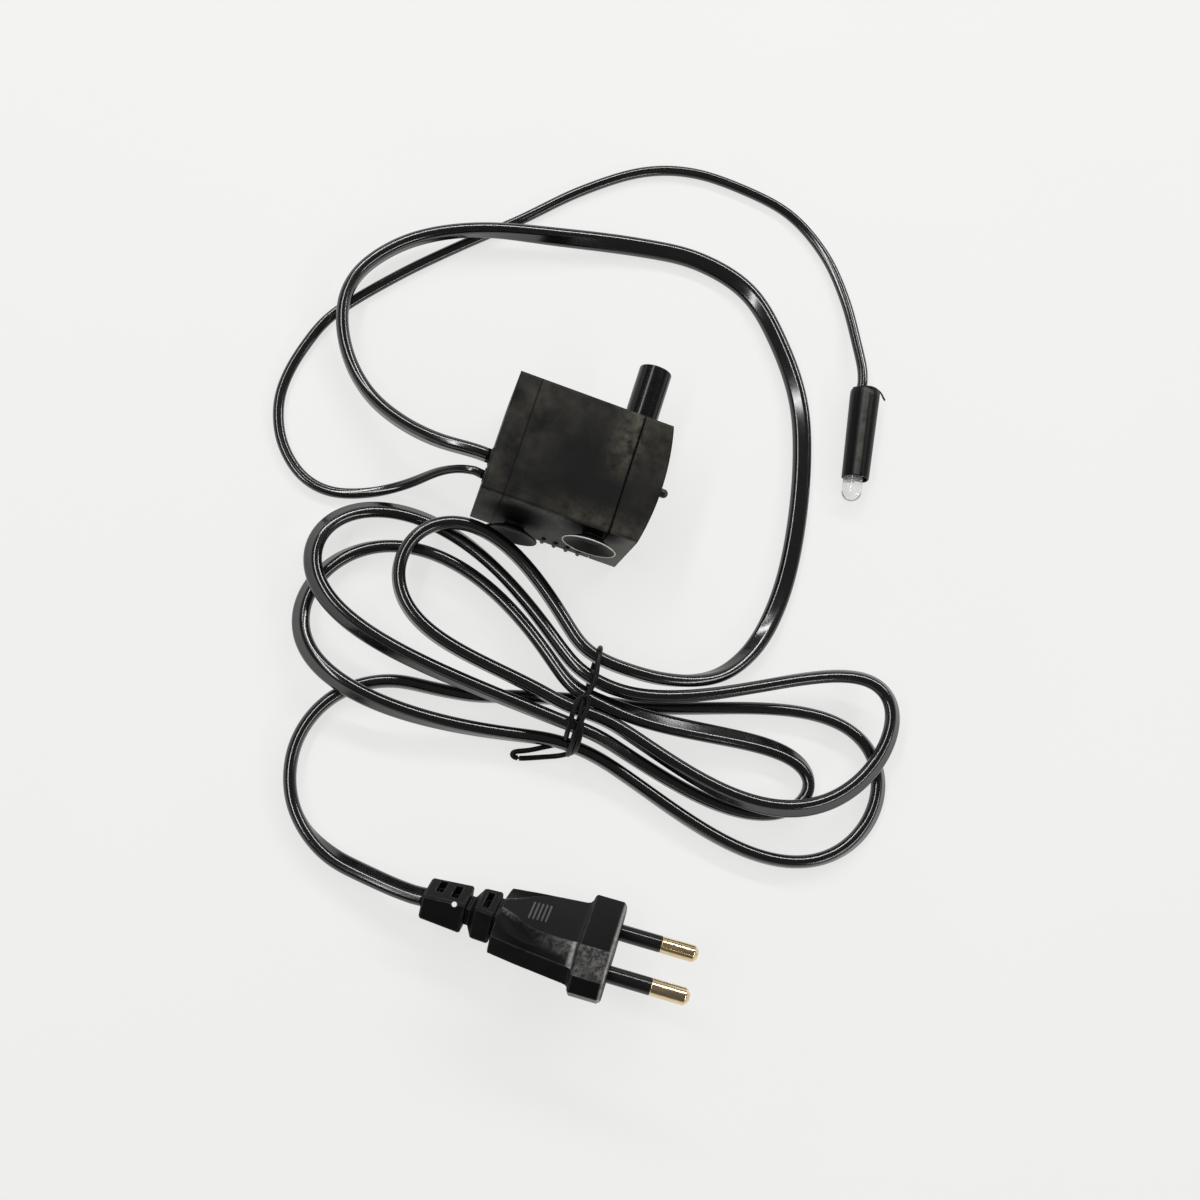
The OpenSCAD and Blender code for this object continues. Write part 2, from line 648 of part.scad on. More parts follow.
module lamp_gland() {
    color(dark_rubber) {
        along_x(x_rear - gland_out, x_rear + wall + gland_in, lamp_cord_d / 2 + gland_wall, lamp_y);
        along_x(x_rear + wall, x_rear + wall + gland_in, lamp_cord_d / 2 + gland_wall + flange / 2, lamp_y);
    }
}

module mains_cord_lead() {
    line = smooth_line(concat(lead_route, [[hank_in.x, hank_in.y, hank_in.z, 0]]), 2);
    color(cord_black) tube(xyz(line), flat8(cord_w, cord_t), [-1, 0, 0], hank_first, turns(line));
}

module mains_cord_hank() {
    echo(least_gap_in_hank_mm = least_gap(finer(hank_line, 4)));
    color(cord_black) tube(hank_line, flat6(cord_w, cord_t), hank_first, hank_last);
}

module mains_cord_tail() {
    in = plug_axis(-plug_rear - 6);
    end = plug_axis(-plug_rear);
    line = smooth_line(concat([[hank_out.x, hank_out.y, hank_out.z, 0]], tail_route,
        [[in.x, in.y, in.z, plug_roll - 90], [end.x, end.y, end.z, plug_roll - 90]]), 2);
    color(cord_black) tube(xyz(line), flat8(cord_w, cord_t), hank_last, unit(end - in), turns(line));
}

module lamp_cord() {
    line = smooth_line(concat(lamp_route, [lamp_point(-5, -lamp_off), lamp_point(0, -lamp_off)]), 2);
    color(cord_black) tube(line, round8(lamp_cord_d), [-1, 0, 0], unit(lamp_point(1, 0) - lamp_point(0, 0)));
}

module twist_tie() {
    line = smooth_line(tie_route, 3);
    color("#101012") tube(line, round8(tie_d), unit(line[1] - line[0]),
        unit(line[len(line) - 1] - line[len(line) - 2]), up = [1, 0, 0]);
}

module in_plug() {
    translate(plug_at) rotate([0, -plug_pitch, plug_yaw]) rotate([-plug_roll, 0, 0]) children();
}

module head_slice(x, h, w, t, flat) {
    translate([x, 0, 0]) rotate([90, 0, 90]) linear_extrude(h) polygon([[-w / 2, -2.2], [-flat / 2, -t / 2],
        [flat / 2, -t / 2], [w / 2, -2.2], [w / 2, 2.2], [flat / 2, t / 2], [-flat / 2, t / 2], [-w / 2, 2.2]]);
}

// A block of the strain relief from x0 to x1, wider and thicker towards the head.
module relief_block(x0, x1, w0, t0, w1, t1) {
    hull() {
        translate([x0, -w0 / 2, -t0 / 2]) cube([0.1, w0, t0]);
        translate([x1 - 0.1, -w1 / 2, -t1 / 2]) cube([0.1, w1, t1]);
    }
}

module plug_body() {
    color(black_plastic) in_plug() difference() {
        union() {
            hull() {
                head_slice(-head_l, head_l - 0.8, head_w, head_t, head_w - 11.8);
                head_slice(-0.8, 0.8, head_w - 1.6, head_t - 1.6, head_w - 13);
            }
            hull() {
                head_slice(-head_l, 0.1, head_w - 4.8, head_t - 2.8, head_w - 16.6);
                head_slice(-body_back + 3, 0.1, 24.4, 8.8, 9.4);
                head_slice(-body_back, 0.1, 20, 7.8, 8);
            }
            for (k = [0 : 4]) translate([-16.8 - k, 0, 3.9]) rotate([90, 0, 0])
                cylinder(r = 1.2 - 0.08 * k, h = 8.4, center = true, $fn = 24);
            translate([-plug_rear + 1, -3.2, -2.3]) cube([plug_rear - body_back + 1, 6.4, 4.6]);
            relief_block(-33, -28.6, 10.2, 8.2, 11, 8.2);
            relief_block(-plug_rear, -35.8, 9.2, 6.4, 9.7, 7.8);
        }
        for (s = [-1, 1]) translate([-12, s * pin_pitch / 2, 0]) rotate([0, 90, 0]) {
            cylinder(r = pin_core_r + fit_clear, h = 13);
            translate([0, 0, 9]) cylinder(r = sleeve_foot_r + fit_clear, h = 4);
        }
        for (x = [-plug_rear + 2.1, -plug_rear + 6.1, -32.1]) translate([x, -0.4, 2]) cube([1.6, 3, 5]);
        translate([-plug_rear + 7.6, -6, 0]) rotate([-90, 0, 0]) cylinder(r = 1, h = 2, $fn = 32);
    }
}

module plug_pins() {
    color(brass) in_plug() for (s = [-1, 1]) translate([-12, s * pin_pitch / 2, 0]) rotate([0, 90, 0]) {
        cylinder(r = pin_core_r, h = 12 + sleeve_l + 0.5);
        translate([0, 0, 12 + sleeve_l]) cylinder(r = pin_r, h = pin_l - sleeve_l - 1);
        translate([0, 0, 11 + pin_l]) cylinder(r1 = pin_r, r2 = pin_r - 1, h = 1);
    }
}

module pin_sleeves() {
    color(black_plastic) in_plug() for (s = [-1, 1]) translate([-3, s * pin_pitch / 2, 0]) rotate([0, 90, 0])
        difference() {
            union() {
                cylinder(r = sleeve_foot_r, h = 4);
                translate([0, 0, 3]) cylinder(r = pin_r, h = sleeve_l);
            }
            translate([0, 0, -1]) cylinder(r = pin_core_r + fit_clear, h = 5 + sleeve_l);
        }
}

module in_lamp() {
    translate(lamp_at) rotate([0, 0, lamp_turn]) rotate([0, 90, 0]) children();
}

module lamp_sleeve() {
    color(cord_black) in_lamp() difference() {
        cylinder(r = lamp_r, h = lamp_l);
        translate([0, -led_off, -1]) cylinder(r = led_r + 0.3 + fit_clear, h = lamp_l + 2);
    }
}

module lamp_seal() {
    color(dark_rubber) in_lamp() translate([0, -led_off, 0]) cylinder(r = led_r + 0.3, h = seal_l);
}

module lamp_legs() {
    color(steel) in_lamp() for (s = [-1, 1]) translate([0, s * 1.27 - led_off, seal_l])
        cylinder(r = 0.3, h = lamp_l - led_in - seal_l, $fn = 24);
}

module lamp_led() {
    color("#dfe6ea") in_lamp() translate([0, -led_off, lamp_l - led_in]) {
        cylinder(r = led_r + 0.3, h = 1);
        cylinder(r = led_r, h = led_in + led_out - led_r);
        translate([0, 0, led_in + led_out - led_r]) sphere(led_r);
    }
}

motor_housing();
outlet_tube();
rear_cap();
front_cover();
chamber_plate();
flow_shutter();
impeller();
rotor_magnet();
rotor_shaft();
front_bush();
rear_bush();
stator_core();
coil_bobbin();
coil_winding();
inner_leads();
potting_resin();
chamber_seal();
front_suction_cup();
rear_suction_cup();
mains_gland();
lamp_gland();
mains_cord_lead();
mains_cord_hank();
mains_cord_tail();
lamp_cord();
twist_tie();
plug_body();
plug_pins();
pin_sleeves();
lamp_sleeve();
lamp_seal();
lamp_legs();
lamp_led();
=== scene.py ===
# Fountain pump with a lamp lead and a mains lead in a hank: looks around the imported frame.
# The part frame is the CAD's. Shapes are written in millimetres and scaled to metres.
import math
import bmesh
import bpy
import numpy as np
from mathutils import Matrix, Vector


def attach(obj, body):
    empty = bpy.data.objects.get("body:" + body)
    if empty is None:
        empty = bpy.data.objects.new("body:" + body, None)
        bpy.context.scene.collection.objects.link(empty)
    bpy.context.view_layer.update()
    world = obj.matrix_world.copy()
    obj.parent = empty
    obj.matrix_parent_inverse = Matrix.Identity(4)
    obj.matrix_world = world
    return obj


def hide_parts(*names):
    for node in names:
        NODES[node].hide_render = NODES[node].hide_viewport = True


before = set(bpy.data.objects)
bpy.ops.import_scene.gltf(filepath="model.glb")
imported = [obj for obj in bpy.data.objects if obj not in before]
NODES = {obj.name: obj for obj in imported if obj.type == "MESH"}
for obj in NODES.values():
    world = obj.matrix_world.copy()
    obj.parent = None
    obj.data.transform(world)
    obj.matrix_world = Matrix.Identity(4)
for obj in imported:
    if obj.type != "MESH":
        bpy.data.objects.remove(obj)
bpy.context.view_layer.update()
MM = 0.001
ROOT = "pump"
# where the photograph was taken from, in millimetres
CAMERA_EYE = Vector((-23.3, -108.4, 353.5))


# Small helpers

def new_object(name, verts, faces, body=ROOT):
    """A smooth-shaded mesh object from millimetre points, riding on a body if one is named."""
    mesh = bpy.data.meshes.new(name)
    mesh.from_pydata([tuple(c * MM for c in v) for v in verts], [], faces)
    mesh.validate()
    bm = bmesh.new()
    bm.from_mesh(mesh)
    bmesh.ops.recalc_face_normals(bm, faces=bm.faces)
    bm.to_mesh(mesh)
    bm.free()
    for p in mesh.polygons:
        p.use_smooth = True
    obj = bpy.data.objects.new(name, mesh)
    bpy.context.scene.collection.objects.link(obj)
    if body:
        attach(obj, body)
    return obj


def dress(obj, material):
    obj.data.materials.clear()
    obj.data.materials.append(material)


def sharpen(obj, degrees):
    obj.data.set_sharp_from_angle(angle=math.radians(degrees))


def catmull(points, n):
    """A smooth line through rows of numbers, n steps to a stretch."""
    p = np.asarray(points, float)
    out = []
    for i in range(len(p) - 1):
        a, b, c, d = p[max(i - 1, 0)], p[i], p[i + 1], p[min(i + 2, len(p) - 1)]
        for k in range(n):
            t = k / n
            out.append((2 * b + (c - a) * t + (2 * a - 5 * b + 4 * c - d) * t * t
                        + (3 * b - a - 3 * c + d) * t ** 3) / 2)
    out.append(p[-1])
    return np.array(out)


def even(line, step):
    """The same line with evenly spaced points."""
    run = np.concatenate([[0], np.cumsum(np.linalg.norm(np.diff(line[:, :3], axis=0), axis=1))])
    n = max(2, int(round(run[-1] / step)))
    s = np.linspace(0, run[-1], n + 1)
    return np.stack([np.interp(s, run, line[:, k]) for k in range(line.shape[1])], axis=1)


def calm(line, rounds, keep):
    """Evens out small kinks; as many points as keep says stay at each end."""
    p = line.copy()
    for _ in range(rounds):
        q = p.copy()
        q[1:-1] = (p[:-2] + 2 * p[1:-1] + p[2:]) / 4
        q[:keep], q[-keep:] = p[:keep], p[-keep:]
        p = q
    return p


def sweep(name, line, section, first, last, up=(0, 0, 1)):
    """A closed tube along a line of x, y, z, roll rows (mm, degrees)."""
    pts = line[:, :3]
    n, m = len(pts), len(section)
    d = np.zeros_like(pts)
    seg = np.diff(pts, axis=0)
    seg /= np.linalg.norm(seg, axis=1)[:, None]
    d[1:-1] = seg[1:] + seg[:-1]
    d[0], d[-1] = first, last
    d /= np.linalg.norm(d, axis=1)[:, None]
    verts = []
    for i in range(n):
        side = np.cross(up, d[i])
        side /= np.linalg.norm(side)
        high = np.cross(d[i], side)
        a = math.radians(line[i, 3]) if line.shape[1] > 3 else 0.0
        s2 = side * math.cos(a) - high * math.sin(a)
        h2 = high * math.cos(a) + side * math.sin(a)
        for u, v in section:
            verts.append(pts[i] + s2 * u + h2 * v)
    faces = []
    for i in range(n - 1):
        for k in range(m):
            l = (k + 1) % m
            faces.append((i * m + k, i * m + l, (i + 1) * m + l, (i + 1) * m + k))
    faces.append(tuple(range(m)))
    faces.append(tuple((n - 1) * m + k for k in reversed(range(m))))
    return new_object(name, verts, faces)


def twin_section(w, t, waist, n=9):
    """Flat two-core cord: two round cores side by side with a shallow groove between them."""
    r, s = t / 2, (w - t) / 2
    out = []
    for j in range(n):
        a = math.radians(-90 + 180 * j / (n - 1))
        out.append((r * math.sin(a), s + r * math.cos(a)))
    out.append((waist / 2, 0.0))
    for j in range(n):
        a = math.radians(90 + 180 * j / (n - 1))
        out.append((r * math.sin(a), -s + r * math.cos(a)))
    out.append((-waist / 2, 0.0))
    return out


def round_section(d, n=12):
    return [(d / 2 * math.sin(2 * math.pi * k / n), d / 2 * math.cos(2 * math.pi * k / n)) for k in range(n)]


def lathe(profile, n=48):
    """Verts and faces of a profile of (x along the axis, radius) turned about local X."""
    verts, faces, rows = [], [], []
    for x, r in profile:
        if r < 1e-6:
            rows.append([len(verts)])
            verts.append((x, 0, 0))
        else:
            rows.append(list(range(len(verts), len(verts) + n)))
            turns = [2 * math.pi * k / n for k in range(n)]
            verts += [(x, r * math.cos(a), r * math.sin(a)) for a in turns]
    for a, b in zip(rows, rows[1:]):
        for k in range(n):
            l = (k + 1) % n
            if len(a) == 1 and len(b) == 1:
                continue
            if len(a) == 1:
                faces.append((a[0], b[l], b[k]))
            elif len(b) == 1:
                faces.append((a[k], a[l], b[0]))
            else:
                faces.append((a[k], a[l], b[l], b[k]))
    return verts, faces


def moved(verts, matrix):
    return [tuple(matrix @ Vector(v)) for v in verts]


# Materials

class Paint:
    """A principled material with its nodes built up a step at a time."""

    def __init__(self, name, color, rough, metal=0.0, **sockets):
        self.mat = bpy.data.materials.new(name)
        self.mat.use_nodes = True
        self.tree = self.mat.node_tree
        self.bsdf = self.tree.nodes["Principled BSDF"]
        self.set("Base Color", (*color, 1))
        self.set("Roughness", rough)
        self.set("Metallic", metal)
        for k, v in sockets.items():
            self.set(k.replace("_", " "), v)
        self.coord = self.node("ShaderNodeTexCoord").outputs["Object"]

    def set(self, socket, value):
        self.bsdf.inputs[socket].default_value = value

    def node(self, kind, **inputs):
        n = self.tree.nodes.new(kind)
        for k, v in inputs.items():
            n.inputs[k.replace("_", " ")].default_value = v
        return n

    def link(self, a, b):
        self.tree.links.new(a, b)

    def noise(self, per_m, detail=4.0, rough=0.55, stretch=None):
        n = self.node("ShaderNodeTexNoise", Scale=per_m, Detail=detail, Roughness=rough)
        src = self.coord
        if stretch:
            m = self.node("ShaderNodeMapping")
            m.inputs["Scale"].default_value = stretch
            self.link(src, m.inputs["Vector"])
            src = m.outputs["Vector"]
        self.link(src, n.inputs["Vector"])
        return n.outputs["Fac"]

    def remap(self, fac, lo, hi, out_lo=0.0, out_hi=1.0):
        n = self.node("ShaderNodeMapRange")
        n.inputs["From Min"].default_value = lo
        n.inputs["From Max"].default_value = hi
        n.inputs["To Min"].default_value = out_lo
        n.inputs["To Max"].default_value = out_hi
        self.link(fac, n.inputs["Value"])
        return n.outputs["Result"]

    def calc(self, operation, a, b=0.0, clamp=False):
        n = self.node("ShaderNodeMath")
        n.operation, n.use_clamp = operation, clamp
        for i, v in enumerate((a, b)):
            if isinstance(v, float):
                n.inputs[i].default_value = v
            else:
                self.link(v, n.inputs[i])
        return n.outputs[0]

    def times(self, a, b):
        return self.calc("MULTIPLY", a, b)

    def plus(self, a, b):
        return self.calc("ADD", a, b, True)

    def vector(self, operation, a, b):
        """Dot product or distance of a vector output and a constant or another output."""
        n = self.node("ShaderNodeVectorMath")
        n.operation = operation
        self.link(a, n.inputs[0])
        if isinstance(b, bpy.types.NodeSocket):
            self.link(b, n.inputs[1])
        else:
            n.inputs[1].default_value = b
        return n.outputs["Value"]

    def normal(self):
        return self.node("ShaderNodeNewGeometry").outputs["Normal"]

    def edges(self, radius_mm, lo, hi):
        """1 along edges, 0 on even faces."""
        n = self.node("ShaderNodeBevel", Radius=radius_mm * MM)
        n.samples = 6
        return self.remap(self.vector("DOT_PRODUCT", n.outputs["Normal"], self.normal()), hi, lo)

    def mix(self, fac, a, b):
        n = self.node("ShaderNodeMix")
        n.data_type = "RGBA"
        self.link(fac, n.inputs["Factor"])
        for key, c in (("A", a), ("B", b)):
            sock = [s for s in n.inputs if s.name == key and s.type == "RGBA"][0]
            if isinstance(c, tuple):
                sock.default_value = (*c, 1)
            else:
                self.link(c, sock)
        return [s for s in n.outputs if s.type == "RGBA"][0]

    def color(self, out):
        self.link(out, self.bsdf.inputs["Base Color"])

    def rough(self, out):
        self.link(out, self.bsdf.inputs["Roughness"])

    def bump(self, height, distance_mm):
        n = self.node("ShaderNodeBump", Strength=1.0, Distance=distance_mm * MM)
        self.link(height, n.inputs["Height"])
        last = getattr(self, "last_bump", None)
        if last:
            self.link(last, n.inputs["Normal"])
        self.last_bump = n.outputs["Normal"]
        self.link(self.last_bump, self.bsdf.inputs["Normal"])


def moulded(name, dark, light, rough_lo, rough_hi, grain_mm, dust=0.0, spec=0.5):
    """Moulded plastic: fine grain, patchy gloss and a film of dust."""
    p = Paint(name, dark, rough_hi, Specular_IOR_Level=spec)
    patch = p.noise(140, 5)
    fine = p.noise(2600, 3)
    tone = p.remap(patch, 0.35, 0.7)
    col = p.mix(tone, dark, light)
    if dust:
        speck = p.remap(p.noise(5200, 2, 0.7), 0.62, 0.8)
        film = p.times(p.remap(p.noise(210, 6, 0.65), 0.45, 0.75), p.remap(fine, 0.3, 0.7))
        veil = p.times(p.plus(p.times(speck, 0.5), film), dust)
        col = p.mix(veil, col, (0.16, 0.155, 0.14))
    p.color(col)
    p.rough(p.remap(p.plus(p.times(patch, 0.6), p.times(fine, 0.4)), 0.3, 0.75, rough_lo, rough_hi))
    p.bump(fine, grain_mm)
    return p.mat


def shiny(name, dark, light, rough_lo, rough_hi, wave_mm, per_m=260, spec=0.5):
    """Smooth soft plastic: low waves from the extruder and a patchy polish."""
    p = Paint(name, dark, rough_lo, Specular_IOR_Level=spec)
    patch = p.noise(90, 4)
    wave = p.noise(per_m, 2)
    p.color(p.mix(p.remap(patch, 0.35, 0.7), dark, light))
    p.rough(p.remap(p.noise(700, 4), 0.3, 0.7, rough_lo, rough_hi))
    p.bump(wave, wave_mm)
    return p.mat


def metal(name, color, rough, streak=(1, 1, 1), tint=None):
    p = Paint(name, color, rough, metal=1.0)
    fine = p.noise(1500, 4, stretch=streak)
    p.color(p.mix(p.remap(fine, 0.3, 0.7), color, tint or tuple(c * 0.8 for c in color)))
    p.rough(p.remap(fine, 0.3, 0.7, rough * 0.7, rough * 1.4))
    p.bump(fine, 0.01)
    return p.mat


def shell():
    """The pump's dull shell: lime dust towards its edges, dust and a painted floor reflection on its base,
    painted shadows by the cups and painted shade along its seams and edges.
    """
    p = Paint("housing", (0.004, 0.004, 0.004), 0.55, Specular_IOR_Level=0.12)
    patch, fine = p.noise(90, 5), p.noise(2600, 3)
    cloud = p.remap(p.noise(150, 6, 0.65), 0.36, 0.7)
    # a film of dust that thins out towards the middle of the upper side; places are in metres
    away = p.vector("DISTANCE", p.coord, (0.005, -0.004, 0.027))
    top = p.remap(p.vector("DOT_PRODUCT", p.normal(), (0, 0, 1)), 0.3, 0.9, 0.3, 1.0)
    film = p.times(p.times(cloud, p.remap(away, 0.006, 0.023)), top)
    x, y = p.vector("DOT_PRODUCT", p.coord, (1, 0, 0)), p.vector("DOT_PRODUCT", p.coord, (0, 1, 0))
    # a streak along the front seam and the lower edge
    near = p.times(p.remap(x, 0.004, 0.0105), p.remap(x, 0.0145, 0.0118, 0.25, 1.0))
    low = p.times(p.remap(y, -0.0085, -0.0145, 0.0, 0.55), p.remap(x, -0.006, 0.004))
    streak = p.calc("MAXIMUM", p.times(near, p.remap(y, -0.004, 0.007)), low)
    streak = p.times(p.times(streak, top), p.remap(p.noise(420, 5, 0.7), 0.34, 0.68))
    grit = p.times(p.remap(p.noise(5200, 2, 0.7), 0.64, 0.8), 0.12)
    col = p.mix(p.remap(patch, 0.35, 0.7), (0.0032, 0.0031, 0.0031), (0.0056, 0.0054, 0.0051))
    col = p.mix(p.times(film, 0.7), col, (0.046, 0.043, 0.034))
    col = p.mix(streak, col, (0.078, 0.073, 0.053))
    col = p.mix(grit, col, (0.16, 0.155, 0.14))
    # the base: mottled dust under a painted reflection of the floor, a painted pool of reflected light at
    # the front corner and painted shadows at both cups
    foot = p.remap(p.vector("DOT_PRODUCT", p.normal(), (0, -1, 0)), 0.6, 0.95)
    mottle = p.times(p.remap(cloud, 0.0, 1.0, 0.65, 1.0),
                     p.remap(p.noise(900, 5, 0.75), 0.38, 0.62, 0.4, 1.0))
    # dust and a painted reflection of the floor lighten the whole base
    col = p.mix(p.times(foot, mottle), col, (0.108, 0.106, 0.094))
    # a painted pool of reflected light towards the base's front corner
    col = p.mix(p.times(foot, p.remap(x, 0.008, 0.019, 0.0, 0.7)), col, (0.21, 0.205, 0.172))
    # painted shadows of the two cups on the base, in near black
    rear = p.remap(p.vector("DISTANCE", p.coord, (-0.0085, -0.0155, 0.0175)), 0.0105, 0.006)
    fore = p.remap(p.vector("DISTANCE", p.coord, (0.009, -0.0155, 0.0275)), 0.0095, 0.005)
    col = p.mix(p.times(foot, p.calc("MAXIMUM", rear, fore)), col, (0.002, 0.002, 0.0022))
    # painted shade along every edge of the shell; at the seams between parts it is also the dark joint
    seam_and_edge_shade = p.edges(0.7, 0.91, 0.983)
    p.color(p.mix(seam_and_edge_shade, col, (0.001, 0.001, 0.001)))
    p.rough(p.remap(p.plus(p.times(patch, 0.6), p.times(fine, 0.4)), 0.3, 0.75, 0.48, 0.62))
    p.bump(fine, 0.012)
    return p.mat


def tubing():
    """Dull black shrink tubing with a painted highlight along its upper side."""
    p = Paint("lamp_sleeve", (0.002, 0.002, 0.002), 0.3, Specular_IOR_Level=0.2)
    col = p.mix(p.remap(p.noise(90, 4), 0.35, 0.7), (0.0014, 0.0014, 0.0015), (0.0026, 0.0026, 0.0026))
    # a painted highlight along the side that faces up
    highlight_streak = p.remap(p.vector("DOT_PRODUCT", p.normal(), (-0.2155, -0.033, 0.976)), 0.972, 0.995)
    highlight_streak = p.times(highlight_streak, p.remap(p.noise(420, 4, 0.6), 0.3, 0.65, 0.3, 0.9))
    p.color(p.mix(highlight_streak, col, (0.078, 0.078, 0.069)))
    p.rough(p.remap(p.noise(700, 4), 0.3, 0.7, 0.3, 0.38))
    p.bump(p.noise(260, 2), 0.012)
    return p.mat


HOUSING = shell()
SHUTTER = moulded("shutter", (0.008, 0.008, 0.0082), (0.012, 0.012, 0.012), 0.35, 0.5, 0.012)
OUTLET = shiny("outlet", (0.003, 0.003, 0.0031), (0.005, 0.005, 0.005), 0.16, 0.22, 0.006, 120, spec=0.32)
CORD = shiny("cord", (0.0018, 0.0018, 0.0019), (0.0032, 0.0032, 0.0033), 0.15, 0.19, 0.005, 90, spec=1.0)
TIE_LOOK = shiny("tie", (0.0022, 0.0022, 0.0022), (0.004, 0.004, 0.004), 0.36, 0.46, 0.01, 900, spec=0.18)
# the grip ribs are painted lighter than the plug's face, as painted highlights
RIB_HIGHLIGHT_LOOK = moulded("plug_ribs", (0.035, 0.035, 0.035), (0.075, 0.075, 0.073), 0.35, 0.5, 0.02)
SLEEVE = tubing()
PIN_SLEEVE = shiny("pin_sleeve", (0.005, 0.005, 0.0055), (0.008, 0.008, 0.008), 0.14, 0.2, 0.008)
RUBBER = moulded("rubber", (0.007, 0.007, 0.0072), (0.011, 0.011, 0.011), 0.4, 0.6, 0.012)
CUP = moulded("cup_rubber", (0.003, 0.003, 0.0032), (0.006, 0.006, 0.006), 0.45, 0.6, 0.008,
              dust=0.02, spec=0.15)
# a pale bead colour that paints a highlight round the front cup's lip
RIM_HIGHLIGHT = moulded("rim_highlight", (0.50, 0.50, 0.48), (0.75, 0.75, 0.72), 0.25, 0.4, 0.01)
BRASS = metal("pin_brass", (0.90, 0.77, 0.52), 0.17, (0.06, 1, 1), (0.66, 0.48, 0.25))
STEEL = metal("steel", (0.55, 0.55, 0.57), 0.35, (0.2, 1, 1))
SHAFT = metal("shaft", (0.72, 0.72, 0.74), 0.16)
FERRITE = moulded("ferrite", (0.035, 0.035, 0.037), (0.055, 0.055, 0.056), 0.45, 0.6, 0.02)
ROTOR = moulded("rotor_white", (0.72, 0.71, 0.66), (0.80, 0.79, 0.75), 0.35, 0.5, 0.01)
BOBBIN = moulded("bobbin", (0.66, 0.63, 0.54), (0.74, 0.71, 0.62), 0.4, 0.55, 0.01)
COPPER = metal("copper_wire", (0.62, 0.28, 0.12), 0.3, (0.1, 1, 1))
LENS = Paint("led_lens", (0.98, 0.985, 0.985), 0.04, Transmission_Weight=0.85, IOR=1.45).mat
LED_METAL = metal("led_lead_frame", (0.80, 0.80, 0.80), 0.3)
RESIN = shiny("resin", (0.02, 0.018, 0.016), (0.03, 0.026, 0.022), 0.2, 0.35, 0.1)

LOOKS = {
    "motor_housing": HOUSING, "outlet_tube": OUTLET, "rear_cap": HOUSING, "front_cover": HOUSING,
    "chamber_plate": HOUSING, "flow_shutter": SHUTTER, "impeller": ROTOR, "rotor_magnet": FERRITE,
    "rotor_shaft": SHAFT, "front_bush": RUBBER, "rear_bush": RUBBER, "stator_core": STEEL,
    "coil_bobbin": BOBBIN, "coil_winding": COPPER, "inner_leads": COPPER, "potting_resin": RESIN,
    "chamber_seal": RUBBER, "front_suction_cup": CUP, "rear_suction_cup": CUP, "mains_gland": RUBBER,
    "lamp_gland": RUBBER, "mains_cord_lead": CORD, "mains_cord_hank": CORD, "mains_cord_tail": CORD,
    "lamp_cord": CORD, "twist_tie": TIE_LOOK, "plug_body": RUBBER, "plug_pins": BRASS,
    "pin_sleeves": PIN_SLEEVE, "lamp_sleeve": SLEEVE, "lamp_seal": RUBBER, "lamp_legs": STEEL,
}

# width of the rounded edges, in millimetres
EDGE_WIDTHS = {
    "motor_housing": 0.2, "rear_cap": 0.2, "front_cover": 0.2, "outlet_tube": 0.35,
    "chamber_plate": 0.1, "plug_pins": 0.25, "pin_sleeves": 0.12,
}
EDGE_ANGLE, FLAT_ANGLE, WELD_GAP = math.radians(35), math.radians(0.6), 2e-6


def soften(obj, width_mm):
    """Rounds the edges of a packed shell with modifiers; its own points stay as they are."""
    for p in obj.data.polygons:
        p.use_smooth = True
    weld = obj.modifiers.new("weld", "WELD")
    weld.merge_threshold = WELD_GAP
    plain = obj.modifiers.new("plain", "DECIMATE")
    plain.decimate_type, plain.angle_limit = "DISSOLVE", FLAT_ANGLE
    edge = obj.modifiers.new("edge", "BEVEL")
    edge.width, edge.segments = width_mm * MM, 2
    edge.limit_method, edge.angle_limit = "ANGLE", EDGE_ANGLE
    edge.use_clamp_overlap = True
    flat = obj.modifiers.new("flat", "WEIGHTED_NORMAL")
    flat.weight = 90


for node_name, node_obj in NODES.items():
    if node_name in LOOKS:
        dress(node_obj, LOOKS[node_name])
for node_name, width in EDGE_WIDTHS.items():
    soften(NODES[node_name], width)


# Mains cord: lead, hank and tail in one piece

CORD_W, CORD_T, CORD_GROOVE = 5.0, 3.1, 2.8
# x, y, z and roll
LEAD = [(-19.8, -3, 14.5, 0), (-25, -3, 14.5, 0), (-33, -3, 12.5, 0), (-43, -0.5, 8.5, 0),
        (-53, 4.5, 5, 0), (-61, 12, 4.5, 0), (-66, 21, 5.8, 0), (-67, 30, 5.8, 0),
        (-63.5, 39, 5.6, 0), (-55, 48.5, 5.6, 0), (-41, 56.5, 5.8, 0), (-21, 63, 4.6, 40),
        (0, 69.5, 2.4, 75), (16, 72, 2, 80), (31.5, 68.5, 2.2, 60), (43.5, 57.5, 2.4, 50),
        (53, 44, 2.2, 65), (58.5, 28.5, 2, 80), (62, 10, 2, 85), (63, -7, 2, 80),
        (60.5, -22, 3, 55), (54.5, -32.5, 4.6, 30), (46.5, -38, 7, 10), (37, -40.8, 9, 0),
        (31, -41.3, 9.7, 0)]
TAIL = [(13, -53.4, 3.5, 0), (5, -55.6, 2.9, 0), (-4, -58.5, 2.6, 0), (-14, -60, 2.6, 0),
        (-23, -61, 2.6, 0), (-30, -64, 2.6, 0), (-36, -69, 2.6, 0), (-40, -76.5, 2.6, 0),
        (-41, -85, 2.6, 0), (-38.5, -94, 2.6, 0), (-33, -101, 2.7, -4), (-24.5, -105.5, 3.2, -42),
        (-16, -107, 4.4, -48)]
WAIST = (22.0, -51.0)
WAIST_HALF, WAIST_LIFT = 4.0, 1.4
LANE, LAYER, FLOOR_Z = 3.7, 5.7, 2.6
LOOP_RINGS = 24
PASSES = [(2.7, 2.6), (-1.1, -0.9), (1.3, 1.1), (-2.1, -2.1), (0, 0), (-3.1, -3.2), (-0.3, 0.3)]
